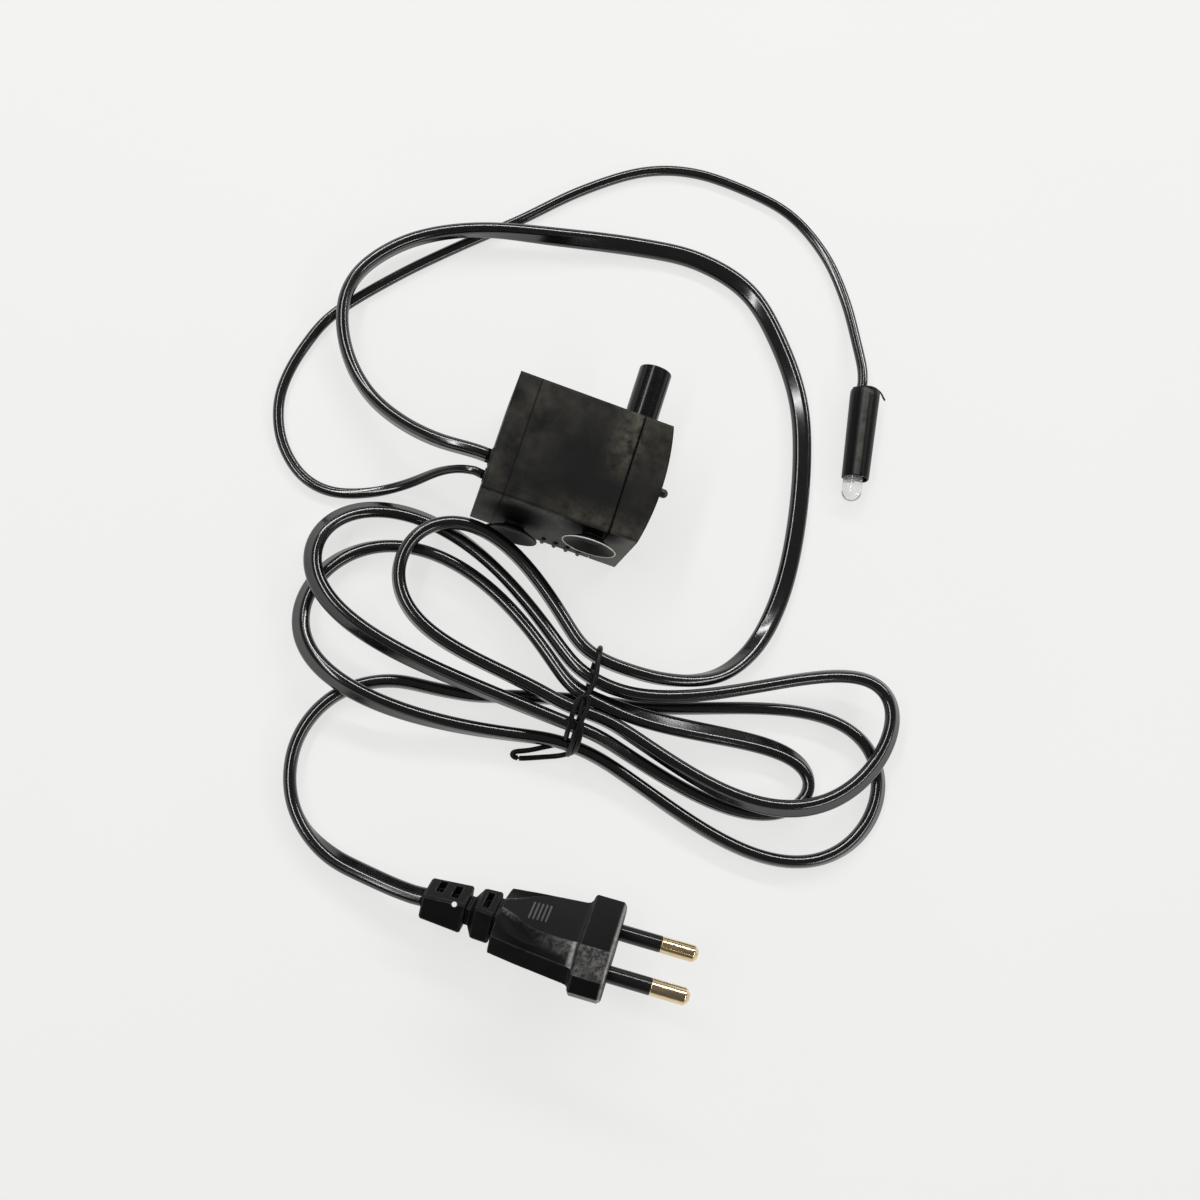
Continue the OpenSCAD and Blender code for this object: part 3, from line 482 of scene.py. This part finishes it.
# side, reach, width, lean, rise, belly, layer at each sixth, roll at each sixth
LOOPS = [
    (-1, 51, 23, 33, -18, 0.7, (1, 1, 1.1, 1.1, 1, 1, 1), (0, 0, 4, 6, 4, 0, 0)),
    (1, 74, 34, -9, 26, 1.2, (1, 1, 1, 1, 1, 1, 1), (0, 8, 45, 50, 12, 0, 0)),
    (-1, 72, 28, 37, -21, 0.55, (1, 0.4, 0, 1, 1, 1, 1), (0, 5, 40, 46, 44, 10, 0)),
    (1, 59, 15, -9, 10, 1.2, (1, 0.4, 0, 0, 0, 0.9, 1), (0, 0, 0, 10, 60, 75, 30)),
    (-1, 70, 35, 26, -19, 0.5, (1, 0.5, 0, 0, 1.2, 0.2, 0), (30, 8, 10, 42, 40, 8, 0)),
    (1, 77, 34, -3, 8, 1, (0, 0, 0, 0, 0, 0, 0), (0, 0, 0, 48, 8, 0, 0)),
]
PLUG_AT, PLUG_REAR, PLUG_ENTRY_ROLL = Vector((44.6, -107, 17.8)), 46.0, -46
PLUG_YAW, PLUG_PITCH, PLUG_ROLL = 1.3, 12.5, 59.0
PLUG_M = (Matrix.Translation(PLUG_AT) @ Matrix.Rotation(math.radians(PLUG_YAW), 4, "Z")
          @ Matrix.Rotation(math.radians(-PLUG_PITCH), 4, "Y")
          @ Matrix.Rotation(math.radians(-PLUG_ROLL), 4, "X"))
PLUG_DIR = PLUG_M.to_3x3() @ Vector((1, 0, 0))


def eased(t):
    return t * t * (3 - 2 * t)


def row_at(row, s):
    i = min(int(s), 5)
    return row[i] + (row[i + 1] - row[i]) * eased(s - i)


def swell(f, belly):
    return math.sin(f) * ((1 - math.cos(f)) / 2) ** belly


def hank_rows():
    """The hank's line: x, y, z and roll, by the same formula as the CAD tube."""
    rows = [(WAIST[0] + WAIST_HALF, WAIST[1] + LANE * PASSES[0][1], FLOOR_Z + LAYER + WAIST_LIFT, 0)]
    for k, (side, reach, width, lean, rise, belly, layers, rolls) in enumerate(LOOPS):
        top = max(swell(math.radians(f), belly) for f in range(0, 181, 2))
        end = 0 if side < 0 else 1
        for j in range(LOOP_RINGS + 1):
            t = j / LOOP_RINGS
            f = 2 * math.pi * t
            q = (1 - math.cos(f)) / 2
            half = swell(min(f, 2 * math.pi - f), belly) / top * (1 if t <= 0.5 else -1)
            u = LANE * (PASSES[k][end] + (PASSES[k + 1][end] - PASSES[k][end]) * eased(t))
            rows.append((WAIST[0] + side * (WAIST_HALF + reach * q),
                         WAIST[1] + u - side * width / 2 * half + lean * q + rise * q * q,
                         FLOOR_Z + LAYER * row_at(layers, 6 * t) + WAIST_LIFT * (1 - q) ** 8,
                         row_at(rolls, 6 * t)))
    rows.append((WAIST[0] - WAIST_HALF, WAIST[1] + LANE * PASSES[6][0], FLOOR_Z + WAIST_LIFT, 0))
    return calm(np.array(rows, float), 2, 1)


plug_in, plug_end = PLUG_AT - (PLUG_REAR + 6) * PLUG_DIR, PLUG_AT - PLUG_REAR * PLUG_DIR
mains_rows = np.array(LEAD + [tuple(r) for r in hank_rows()] + TAIL
                      + [(*plug_in, PLUG_ENTRY_ROLL), (*plug_end, PLUG_ENTRY_ROLL)], float)
mains_line = calm(even(catmull(mains_rows, 8), 1.0), 13, 4)
mains_cord = sweep("mains_cord", mains_line, twin_section(CORD_W, CORD_T, CORD_GROOVE, 13),
                   (-1, 0, 0), tuple(PLUG_DIR))
dress(mains_cord, CORD)
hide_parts("mains_cord_lead", "mains_cord_hank", "mains_cord_tail")


# Lamp cord

LAMP_CORD_W, LAMP_CORD_T, LAMP_GROOVE = 2.7, 2.1, 1.9
LAMP_AT, LAMP_TURN, LAMP_L = Vector((69.4, 52.6, 3.8)), -81.3, 24.5
LAMP_OFF, LED_OFF, LAMP_END_ROLL = 1.2, 0.5, 60
LAMP = [(-19.8, -8, 14.5, 0), (-24, -8, 14.5, 10), (-30, -9.5, 10, 30), (-37, -14, 4, 60),
        (-45, -18.5, 1.4, 70), (-54, -21.5, 1.4, 80), (-62, -20, 1.4, 80), (-69, -14, 1.4, 80),
        (-73, -6, 1.4, 80), (-74, 2, 1.4, 70), (-72.5, 12, 1.4, 70), (-68.5, 23, 1.4, 80),
        (-57, 38.5, 1.4, 80), (-45, 52, 1.4, 70), (-32.5, 65, 1.4, 60), (-20, 79, 1.4, 70),
        (-6.5, 90.5, 1.4, 80), (6.5, 96, 1.4, 80), (21, 97, 1.4, 80), (36, 95, 1.4, 70),
        (48.5, 87.5, 1.4, 60), (57.5, 77, 1.6, 60), (64, 65, 2.8, 60)]
LAMP_M = Matrix.Translation(LAMP_AT) @ Matrix.Rotation(math.radians(LAMP_TURN), 4, "Z")
lamp_dir = LAMP_M.to_3x3() @ Vector((1, 0, 0))
lamp_rows = LAMP + [(*(LAMP_M @ Vector((x, -LAMP_OFF, 0))), LAMP_END_ROLL) for x in (-5, 0)]
lamp_line = calm(even(catmull(lamp_rows, 8), 0.8), 9, 4)
lamp_cord = sweep("lamp_cord_wire", lamp_line, twin_section(LAMP_CORD_W, LAMP_CORD_T, LAMP_GROOVE, 11),
                  (-1, 0, 0), tuple(lamp_dir))
dress(lamp_cord, CORD)
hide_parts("lamp_cord")


# Plug: one moulding lofted through its sections, with slots, a hole and grip ribs

def plug_section(w, tip, flat, t, scoop):
    """Half outline mirrored both ways: tip, hollow flank, flat; y across and z through the plug."""
    quarter = []
    for k in range(7):
        f = k / 6
        y = w / 2 + (flat / 2 - w / 2) * f
        z = tip / 2 + (t / 2 - tip / 2) * f
        dy, dz = flat / 2 - w / 2, t / 2 - tip / 2
        size = math.hypot(dy, dz)
        pull = scoop * math.sin(math.pi * f)
        quarter.append((y - pull * dz / size, z + pull * dy / size))
    top = quarter + [(-y, z) for y, z in reversed(quarter)]
    return top + [(-y, -z) for y, z in top]


# x, width, tip height, flat width, thickness, depth of the flank's hollow
PLUG_ROWS = [
    (-46, 8.4, 4.8, 7.6, 5.8, 0), (-45.6, 9.2, 5.4, 8.2, 6.4, 0), (-36.2, 9.7, 6.8, 8.7, 7.8, 0),
    (-35.8, 9.2, 6.4, 8.2, 7.4, 0), (-35.5, 6.4, 3.8, 5.6, 4.6, 0), (-34.6, 6.4, 3.8, 5.6, 4.6, 0),
    (-33.2, 10, 7, 9, 8, 0), (-32.6, 10.4, 7.2, 9.4, 8.2, 0), (-29.2, 11, 7.2, 10, 8.2, 0),
    (-28.8, 10.4, 6.8, 9.4, 7.8, 0), (-28.6, 8.8, 5.6, 7.8, 6.6, 0), (-28.1, 9.2, 5.6, 7.8, 6.6, 0),
    (-27.9, 20.4, 4, 4.2, 8, 0.6), (-27.6, 23, 4.4, 4.6, 8.8, 1), (-26, 23.8, 4.4, 6.4, 9, 1.5),
    (-24, 24.6, 4.4, 9, 9.2, 1.8), (-21.8, 25.6, 4.4, 12.4, 9.4, 1.9), (-19.4, 26.5, 4.4, 15.2, 9.6, 1.8),
    (-17.4, 27.1, 4.4, 16.6, 9.8, 1.5),
    (-15.5, 27.8, 4.4, 17.4, 10, 1.2), (-12, 29, 4.4, 18, 10.4, 0.7), (-9.4, 29.9, 4.4, 18.4, 10.8, 0.3),
    (-8.5, 30.4, 4.4, 18.8, 11.2, 0.1), (-8.05, 31.6, 4.4, 20, 11.9, 0), (-7.8, 34.2, 4.4, 22.6, 13.1, 0),
    (-7.4, 35.2, 4.4, 23.4, 13.7, 0), (-0.9, 35.2, 4.4, 23.4, 13.7, 0), (-0.3, 34.4, 3.8, 22.8, 13, 0),
    (0, 33.4, 3, 22, 12.2, 0),
]


def loft(rows):
    rings = [[(x, y, z) for y, z in plug_section(*shape)] for x, *shape in rows]
    m = len(rings[0])
    verts = [p for ring in rings for p in ring]
    faces = [(i * m + k, i * m + (k + 1) % m, (i + 1) * m + (k + 1) % m, (i + 1) * m + k)
             for i in range(len(rings) - 1) for k in range(m)]
    faces.append(tuple(range(m)))
    faces.append(tuple((len(rings) - 1) * m + k for k in reversed(range(m))))
    return verts, faces


def box_mesh(lo, hi):
    c = [(x, y, z) for x in (lo[0], hi[0]) for y in (lo[1], hi[1]) for z in (lo[2], hi[2])]
    return c, [(0, 1, 3, 2), (4, 6, 7, 5), (0, 4, 5, 1), (2, 3, 7, 6), (0, 2, 6, 4), (1, 5, 7, 3)]


def cut(obj, cutters):
    """Takes the cutters out of obj and keeps the result as its mesh."""
    for c in cutters:
        mod = obj.modifiers.new("cut", "BOOLEAN")
        mod.operation, mod.solver, mod.object = "DIFFERENCE", "EXACT", c
    graph = bpy.context.evaluated_depsgraph_get()
    mesh = bpy.data.meshes.new_from_object(obj.evaluated_get(graph))
    obj.modifiers.clear()
    obj.data = mesh
    for c in cutters:
        bpy.data.objects.remove(c)


def plug_paint():
    """Dull black moulding; an electro-eroded grain on the flanks towards the head, painted lighter as a
    sheen, and painted highlights on its edges, crest, fillet and front edge.
    """
    p = Paint("plug", (0.003, 0.003, 0.003), 0.5, Specular_IOR_Level=0.1)
    axes = [tuple(PLUG_M.to_3x3().col[i]) for i in range(3)]
    place = [p.calc("SUBTRACT", p.vector("DOT_PRODUCT", p.coord, a), float(PLUG_AT.dot(a)) * MM)
             for a in axes]
    facing = [p.calc("ABSOLUTE", p.vector("DOT_PRODUCT", p.normal(), a)) for a in axes]
    x, y = place[0], p.calc("ABSOLUTE", place[1])
    flank = p.calc("MINIMUM", p.remap(facing[1], 0.25, 0.45), p.remap(facing[2], 0.25, 0.45))
    slope = p.calc("SUBTRACT", x, p.times(y, 1.45))
    body = p.times(flank, p.remap(slope, -0.0318, -0.0245))
    head = p.times(flank, p.remap(x, -0.0083, -0.0078, 0.0, 0.7))
    # a painted glint on the fillet just before the head
    fillet_glint = p.times(flank, p.times(p.remap(x, -0.0098, -0.0089), p.remap(x, -0.0078, -0.0084)))
    # a painted highlight along the front edge
    front = p.times(p.remap(x, -0.0009, -0.0004, 0.0, 0.8), p.remap(facing[0], 0.95, 0.7))
    # a painted highlight along the crest where the flat face meets the hollow flank
    ridge = p.calc("ABSOLUTE", p.calc("SUBTRACT", p.calc("SUBTRACT", y, p.times(x, 0.61)), 0.0191))
    crest_run = p.times(p.remap(x, -0.0284, -0.0276), p.remap(x, -0.0225, -0.0245))
    crest_highlight = p.times(p.remap(ridge, 0.0008, 0.0003), crest_run)
    fine, coarse = p.noise(2400, 3), p.noise(900, 4, 0.7)
    grain = p.calc("MAXIMUM", p.calc("MAXIMUM", body, head), crest_highlight)
    # the grain is painted lighter as a painted sheen
    grain_sheen = p.times(grain, p.remap(coarse, 0.42, 0.68, 0.06, 1.0))
    # painted highlights along the edges
    edge_glint = p.times(p.edges(0.45, 0.93, 0.985), p.remap(p.noise(500, 3), 0.35, 0.6, 0.15, 0.7))
    col = p.mix(p.remap(p.noise(140, 5), 0.35, 0.7), (0.0022, 0.0022, 0.0023), (0.004, 0.004, 0.004))
    col = p.mix(p.times(edge_glint, 0.7), col, (0.10, 0.10, 0.097))
    col = p.mix(grain_sheen, col, (0.12, 0.118, 0.112))
    col = p.mix(p.times(front, p.remap(coarse, 0.3, 0.6, 0.45, 1.0)), col, (0.42, 0.39, 0.38))
    p.color(p.mix(p.times(fillet_glint, p.remap(coarse, 0.35, 0.6, 0.3, 1.0)), col, (0.30, 0.30, 0.29)))
    p.rough(p.remap(grain, 0.0, 1.0, 0.52, 0.34))
    p.bump(fine, 0.015)
    p.bump(p.times(coarse, grain), 0.12)
    return p.mat


PLUG = plug_paint()
# slots of the strain relief: x from and to, y from and to, height of their floor
PLUG_SLOTS = [(-43.7, -41.9, -1.6, 3.6, 1.4), (-39.8, -38, -2.6, 3, 1.4), (-32, -30.4, -3.8, 3.6, 2)]
SLOT_SHIFT, SLOT_TOP = 1.6, 9
HOLE_AT, HOLE_R = Vector((-38.3, -4.5, 3.1)), 0.62
PIN_PITCH, BORE_R = 19, 1.9
RIBS, RIB_L = 5, 8.4


def plug():
    verts, faces = loft(PLUG_ROWS)
    skin = new_object("plug_moulding", moved(verts, PLUG_M), faces)
    cutters = []
    for x0, x1, y0, y1, z0 in PLUG_SLOTS:
        # the far side's slots lie a little further on
        for lo, hi in (((x0, y0, z0), (x1, y1, SLOT_TOP)),
                       ((x0 + SLOT_SHIFT, y0, -SLOT_TOP), (x1 + SLOT_SHIFT, y1, -z0))):
            v, f = box_mesh(lo, hi)
            cutters.append(new_object("slot", moved(v, PLUG_M), f, body=None))
    # the small hole runs along the photograph's line of sight
    v, f = lathe([(-20, 0), (-20, HOLE_R), (20, HOLE_R), (20, 0)], 20)
    hole = PLUG_M @ HOLE_AT
    turn = (CAMERA_EYE - hole).to_track_quat("X", "Z").to_matrix().to_4x4()
    cutters.append(new_object("hole", moved(v, Matrix.Translation(hole) @ turn), f, body=None))
    for s in (-1, 1):
        v, f = lathe([(-6, 0), (-6, BORE_R), (3, BORE_R), (3, 0)], 32)
        bore_m = PLUG_M @ Matrix.Translation((0, s * PIN_PITCH / 2, 0))
        cutters.append(new_object("bore", moved(v, bore_m), f, body=None))
    cut(skin, cutters)
    ridges, ridge_faces = [], []
    for k in range(RIBS):
        # the face rises a little towards the head
        v, f = rib((-20.9 + k, -RIB_L / 2, 4.66 + 0.045 * k), RIB_L, 0.3, 0.34)
        ridge_faces += [tuple(i + len(ridges) for i in q) for q in f]
        ridges += v
    grip = new_object("plug_grip_ribs", moved(ridges, PLUG_M), ridge_faces)
    edge = skin.modifiers.new("edge", "BEVEL")
    edge.width, edge.segments, edge.limit_method = 0.22 * MM, 2, "ANGLE"
    edge.angle_limit, edge.harden_normals = math.radians(24), True
    for p in skin.data.polygons:
        p.use_smooth = True
    dress(skin, PLUG)
    dress(grip, RIB_HIGHLIGHT_LOOK)
    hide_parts("plug_body")
    return [skin, grip]


def rib(at, length, half, high):
    """A low half-round ridge along y with rounded ends, its foot sunk a little into the face."""
    verts, faces, n, m = [], [], 12, 9
    for i in range(n + 1):
        f = i / n
        size = min(1.0, math.sqrt(max(0.0, 1 - (2 * f - 1) ** 8)) + 0.15)
        for k in range(m):
            a = math.pi * k / (m - 1)
            verts.append((at[0] + half * size * math.cos(a), at[1] + length * f,
                          at[2] - 0.12 + (high + 0.12) * size * math.sin(a)))
    for i in range(n):
        for k in range(m - 1):
            faces.append((i * m + k, i * m + k + 1, (i + 1) * m + k + 1, (i + 1) * m + k))
        faces.append((i * m + m - 1, i * m, (i + 1) * m, (i + 1) * m + m - 1))
    faces.append(tuple(range(m)))
    faces.append(tuple(n * m + k for k in reversed(range(m))))
    return verts, faces


# Twist tie: one wire, from its bent tail twice over the bundle and once under it

TIE_D = 1.3
TIE = [(23.2, -63.2, 6.8), (22.6, -62.7, 5), (21.4, -62.3, 3.6), (19, -63.4, 2.6), (16.7, -64.7, 2),
       (13, -66.8, 1.5), (10.2, -68, 1.1), (9.2, -68.5, 1), (9.3, -69.4, 0.9), (11, -69.5, 0.9),
       (14, -68.4, 0.9), (17.5, -67, 1), (20.4, -65.8, 1.4), (22.2, -64.8, 2.8), (23, -64.3, 5),
       (23, -63.7, 8.6), (22.6, -61.6, 12), (21.9, -58.6, 13.9), (20.6, -55.6, 14.4),
       (20.4, -52.4, 14.4), (21.4, -49.4, 14.4), (21.6, -46, 14.2), (21, -42.4, 13.8),
       (20.9, -39.6, 12.6), (21.2, -38.2, 9), (21.6, -38.6, 4.4), (22, -41.5, 1.1),
       (22.4, -50, 0.8), (22.6, -60, 0.8), (22.4, -64.4, 2.2), (22, -65, 5.4), (21.6, -63, 10),
       (21.4, -60.4, 13), (21.5, -57, 14.6), (21.8, -54, 14.8), (20.9, -51.2, 15.2),
       (19.2, -52.8, 14.9), (18.9, -55.6, 14.5), (19.1, -58.4, 13.4), (19.5, -60.6, 10.8),
       (20, -62, 7.6)]


def tie():
    line = calm(even(catmull(TIE, 6), 0.5), 4, 2)
    first, last = line[1] - line[0], line[-1] - line[-2]
    wire = sweep("tie_wire", line, round_section(TIE_D, 10), tuple(first), tuple(last), up=(1, 0.2, 0))
    dress(wire, TIE_LOOK)
    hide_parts("twist_tie")
    return wire


# Lamp: tapered sleeve with a torn rim, clear lens over its lead frame

def sleeve():
    # x along the sleeve and radius: out along the wall and back inside it
    wall = [(0, 3.1), (0, 3.86), (0.15, 3.94), (2, 3.95), (9, 3.84), (17, 3.72), (23.6, 3.62),
            (24.4, 3.6), (24.5, 3.5), (24.5, 3.16), (24.2, 3.12), (0.3, 3.1), (0, 3.1)]
    v, f = lathe(wall, 56)
    wavy = []
    for x, y, z in v:
        a = math.atan2(z, y)
        end = max(0.0, (1.2 - x) / 1.2) if x < 1.2 else max(0.0, (x - 23.6) / 0.9)
        wavy.append((x - 0.12 * end * math.sin(3 * a + 1) - 0.08 * end * math.sin(7 * a), y, z + 0.15))
    tube = new_object("lamp_sleeve_skin", moved(wavy, LAMP_M), f)
    sharpen(tube, 40)
    dress(tube, SLEEVE)
    strip = [(0.05, -3.8, 1.2, 0), (-0.15, -1.6, 3.4, 0), (-0.2, 1, 3.7, 0), (-0.1, 3.2, 2.2, 0),
             (0.2, 4.3, 1.2, 0), (0.8, 5, 0.7, 0), (1.4, 5.6, 0.5, 0)]
    flash = even(catmull(strip, 6), 0.3)
    flash[:, :3] = [tuple(LAMP_M @ Vector(p)) for p in flash[:, :3]]
    rim = sweep("lamp_sleeve_flash", flash, [(0.28, 0), (0, 0.16), (-0.28, 0), (0, -0.16)],
                tuple(flash[1, :3] - flash[0, :3]), tuple(flash[-1, :3] - flash[-2, :3]))
    dress(rim, SLEEVE)
    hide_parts("lamp_sleeve")
    return [tube, rim]


def lens():
    r, out, inside = 2.6, 6.3, 5.0
    x0, tip = LAMP_L - inside, LAMP_L + out
    profile = [(x0, 0), (x0, r + 0.28), (x0 + 0.9, r + 0.28), (x0 + 1, r), (tip - r, r)]
    turns = [math.pi / 2 * k / 9 for k in range(1, 9)]
    profile += [(tip - r + r * math.sin(a), r * math.cos(a)) for a in turns]
    v, f = lathe(profile + [(tip, 0)], 40)
    lens_m = LAMP_M @ Matrix.Translation((0, LED_OFF - 1.0, 0))
    dome = new_object("led_lens", moved(v, lens_m), f)
    sharpen(dome, 50)
    dress(dome, LENS)
    # lead frame: the dish on its post, the second post and its arm
    dish, faces = lathe([(x0 + 4.9, 0), (x0 + 4.9, 1.1), (x0 + 6.2, 1.5), (x0 + 6.2, 1.2),
                         (x0 + 5.5, 0.5), (x0 + 5.5, 0)], 20)
    verts = [(x, y - 0.5, z) for x, y, z in dish]
    for lo, hi in (((x0 + 0.3, -0.9, -0.25), (x0 + 5, -0.3, 0.25)),
                   ((x0 + 0.3, 0.9, -0.25), (x0 + 5.4, 1.5, 0.25)),
                   ((x0 + 5.2, 0.7, -0.25), (x0 + 6, 1.6, 0.25))):
        bv, bf = box_mesh(lo, hi)
        faces += [tuple(i + len(verts) for i in q) for q in bf]
        verts += bv
    core = new_object("led_lead_frame", moved(verts, lens_m), faces)
    sharpen(core, 40)
    dress(core, LED_METAL)
    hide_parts("lamp_led")
    return [dome, core]


plug_pieces = plug()
tie_wire = tie()
lamp_pieces = sleeve() + lens()


# Suction cups: radius and height of the lip, and radius of its bead

RIM_R, RIM_Y, BEAD_R = 6.62, -18.25, 0.16


def cup_rim(name, x, z, look):
    """The bead round a suction cup's lip."""
    turns = [2 * math.pi * k / 10 for k in range(11)]
    v, f = lathe([(BEAD_R * math.cos(a), RIM_R + BEAD_R * math.sin(a)) for a in turns], 64)
    lip_m = Matrix.Translation((x, RIM_Y, z)) @ Matrix.Rotation(math.pi / 2, 4, "Z")
    ring = new_object(name, moved(v, lip_m), f)
    dress(ring, look)


# the front cup's bead is painted pale as a highlight; the rear one keeps the cup's rubber
cup_rim("front_cup_rim", 9.5, 21.7, RIM_HIGHLIGHT)
cup_rim("rear_cup_rim", -8.5, 7.3, CUP)


# Stage, light and camera

def lay_floor():
    """A wide pale floor, a little below the part."""
    mesh = bpy.data.meshes.new("floor")
    half, drop = 20.0, -0.0002
    corners = [(-half, -half, drop), (half, -half, drop), (half, half, drop), (-half, half, drop)]
    mesh.from_pydata(corners, [], [(0, 1, 2, 3)])
    floor = bpy.data.objects.new("floor", mesh)
    bpy.context.scene.collection.objects.link(floor)
    p = Paint("floor", (0.86, 0.86, 0.85), 0.8, Specular_IOR_Level=0.1)
    p.color(p.mix(p.remap(p.noise(9, 3), 0.35, 0.7), (0.80, 0.80, 0.795), (0.83, 0.83, 0.824)))
    glow = p.node("ShaderNodeEmission", Color=(0.871, 0.871, 0.855, 1.0), Strength=1.0)
    share = p.node("ShaderNodeMixShader")
    ray = p.node("ShaderNodeLightPath")
    direct = p.plus(ray.outputs["Is Camera Ray"], ray.outputs["Is Transmission Ray"])
    seen = p.plus(direct, ray.outputs["Is Glossy Ray"])
    p.link(p.times(seen, 0.8), share.inputs[0])
    p.link(p.bsdf.outputs[0], share.inputs[1])
    p.link(glow.outputs[0], share.inputs[2])
    p.link(share.outputs[0], p.tree.nodes["Material Output"].inputs["Surface"])
    dress(floor, p.mat)


def hang_sky():
    """Pale at the horizon, as the floor is, and dim overhead."""
    world = bpy.data.worlds.new("studio")
    bpy.context.scene.world = world
    world.use_nodes = True
    t = world.node_tree
    back = t.nodes["Background"]
    co = t.nodes.new("ShaderNodeTexCoord")
    sep = t.nodes.new("ShaderNodeSeparateXYZ")
    ramp = t.nodes.new("ShaderNodeValToRGB")
    t.links.new(co.outputs["Generated"], sep.inputs["Vector"])
    t.links.new(sep.outputs["Z"], ramp.inputs["Fac"])
    t.links.new(ramp.outputs["Color"], back.inputs["Color"])
    low, high = ramp.color_ramp.elements
    low.position, low.color = 0.16, (0.78, 0.78, 0.77, 1)
    high.position, high.color = 0.5, (0.1, 0.1, 0.1, 1)
    mid = ramp.color_ramp.elements.new(0.26)
    mid.color = (0.2, 0.2, 0.2, 1)
    back.inputs["Strength"].default_value = 1.0


# name, place (m), turn about Z (degrees), length (m), watts
STRIPS = [("far", (0, 0.62, 0.66), 0, 1.5, 8.0), ("left", (-0.45, -0.02, 0.82), 90, 1.0, 4.2),
          ("right", (0.75, -0.28, 0.55), 90, 0.8, 2.2)]
STRIP_W = 0.09


def hang_lights():
    """Long strips that face the part and give the cords their white lines."""
    for name, at, turn, length, watts in STRIPS:
        light = bpy.data.lights.new(name, "AREA")
        light.shape, light.energy = "RECTANGLE", watts
        light.size, light.size_y = length, STRIP_W
        obj = bpy.data.objects.new(name, light)
        along = Vector((math.cos(math.radians(turn)), math.sin(math.radians(turn)), 0))
        back_dir = (Vector(at) - along * Vector(at).dot(along)).normalized()
        m = Matrix((along, back_dir.cross(along), back_dir)).transposed().to_4x4()
        m.translation = Vector(at)
        obj.matrix_world = m
        bpy.context.scene.collection.objects.link(obj)


def set_camera():
    cam = bpy.data.cameras.new("camera")
    cam.sensor_width, cam.lens = 36.0, 43.11
    cam.clip_start, cam.clip_end = 0.01, 50
    obj = bpy.data.objects.new("camera", cam)
    bpy.context.scene.collection.objects.link(obj)
    ahead = Vector((0.1146, 0.229, -0.9667)).normalized()
    up = Vector((-0.3266, 0.9277, 0.181))
    right = ahead.cross(up).normalized()
    up = right.cross(ahead)
    m = Matrix((right, up, -ahead)).transposed().to_4x4()
    m.translation = CAMERA_EYE * MM
    obj.matrix_world = m
    bpy.context.scene.camera = obj


lay_floor()
hang_sky()
hang_lights()
set_camera()
bpy.context.scene.view_settings.view_transform = "Standard"

plug_nodes = plug_pieces + [tie_wire]
plug_nodes += [NODES[n] for n in ("plug_body", "plug_pins", "pin_sleeves", "twist_tie")]
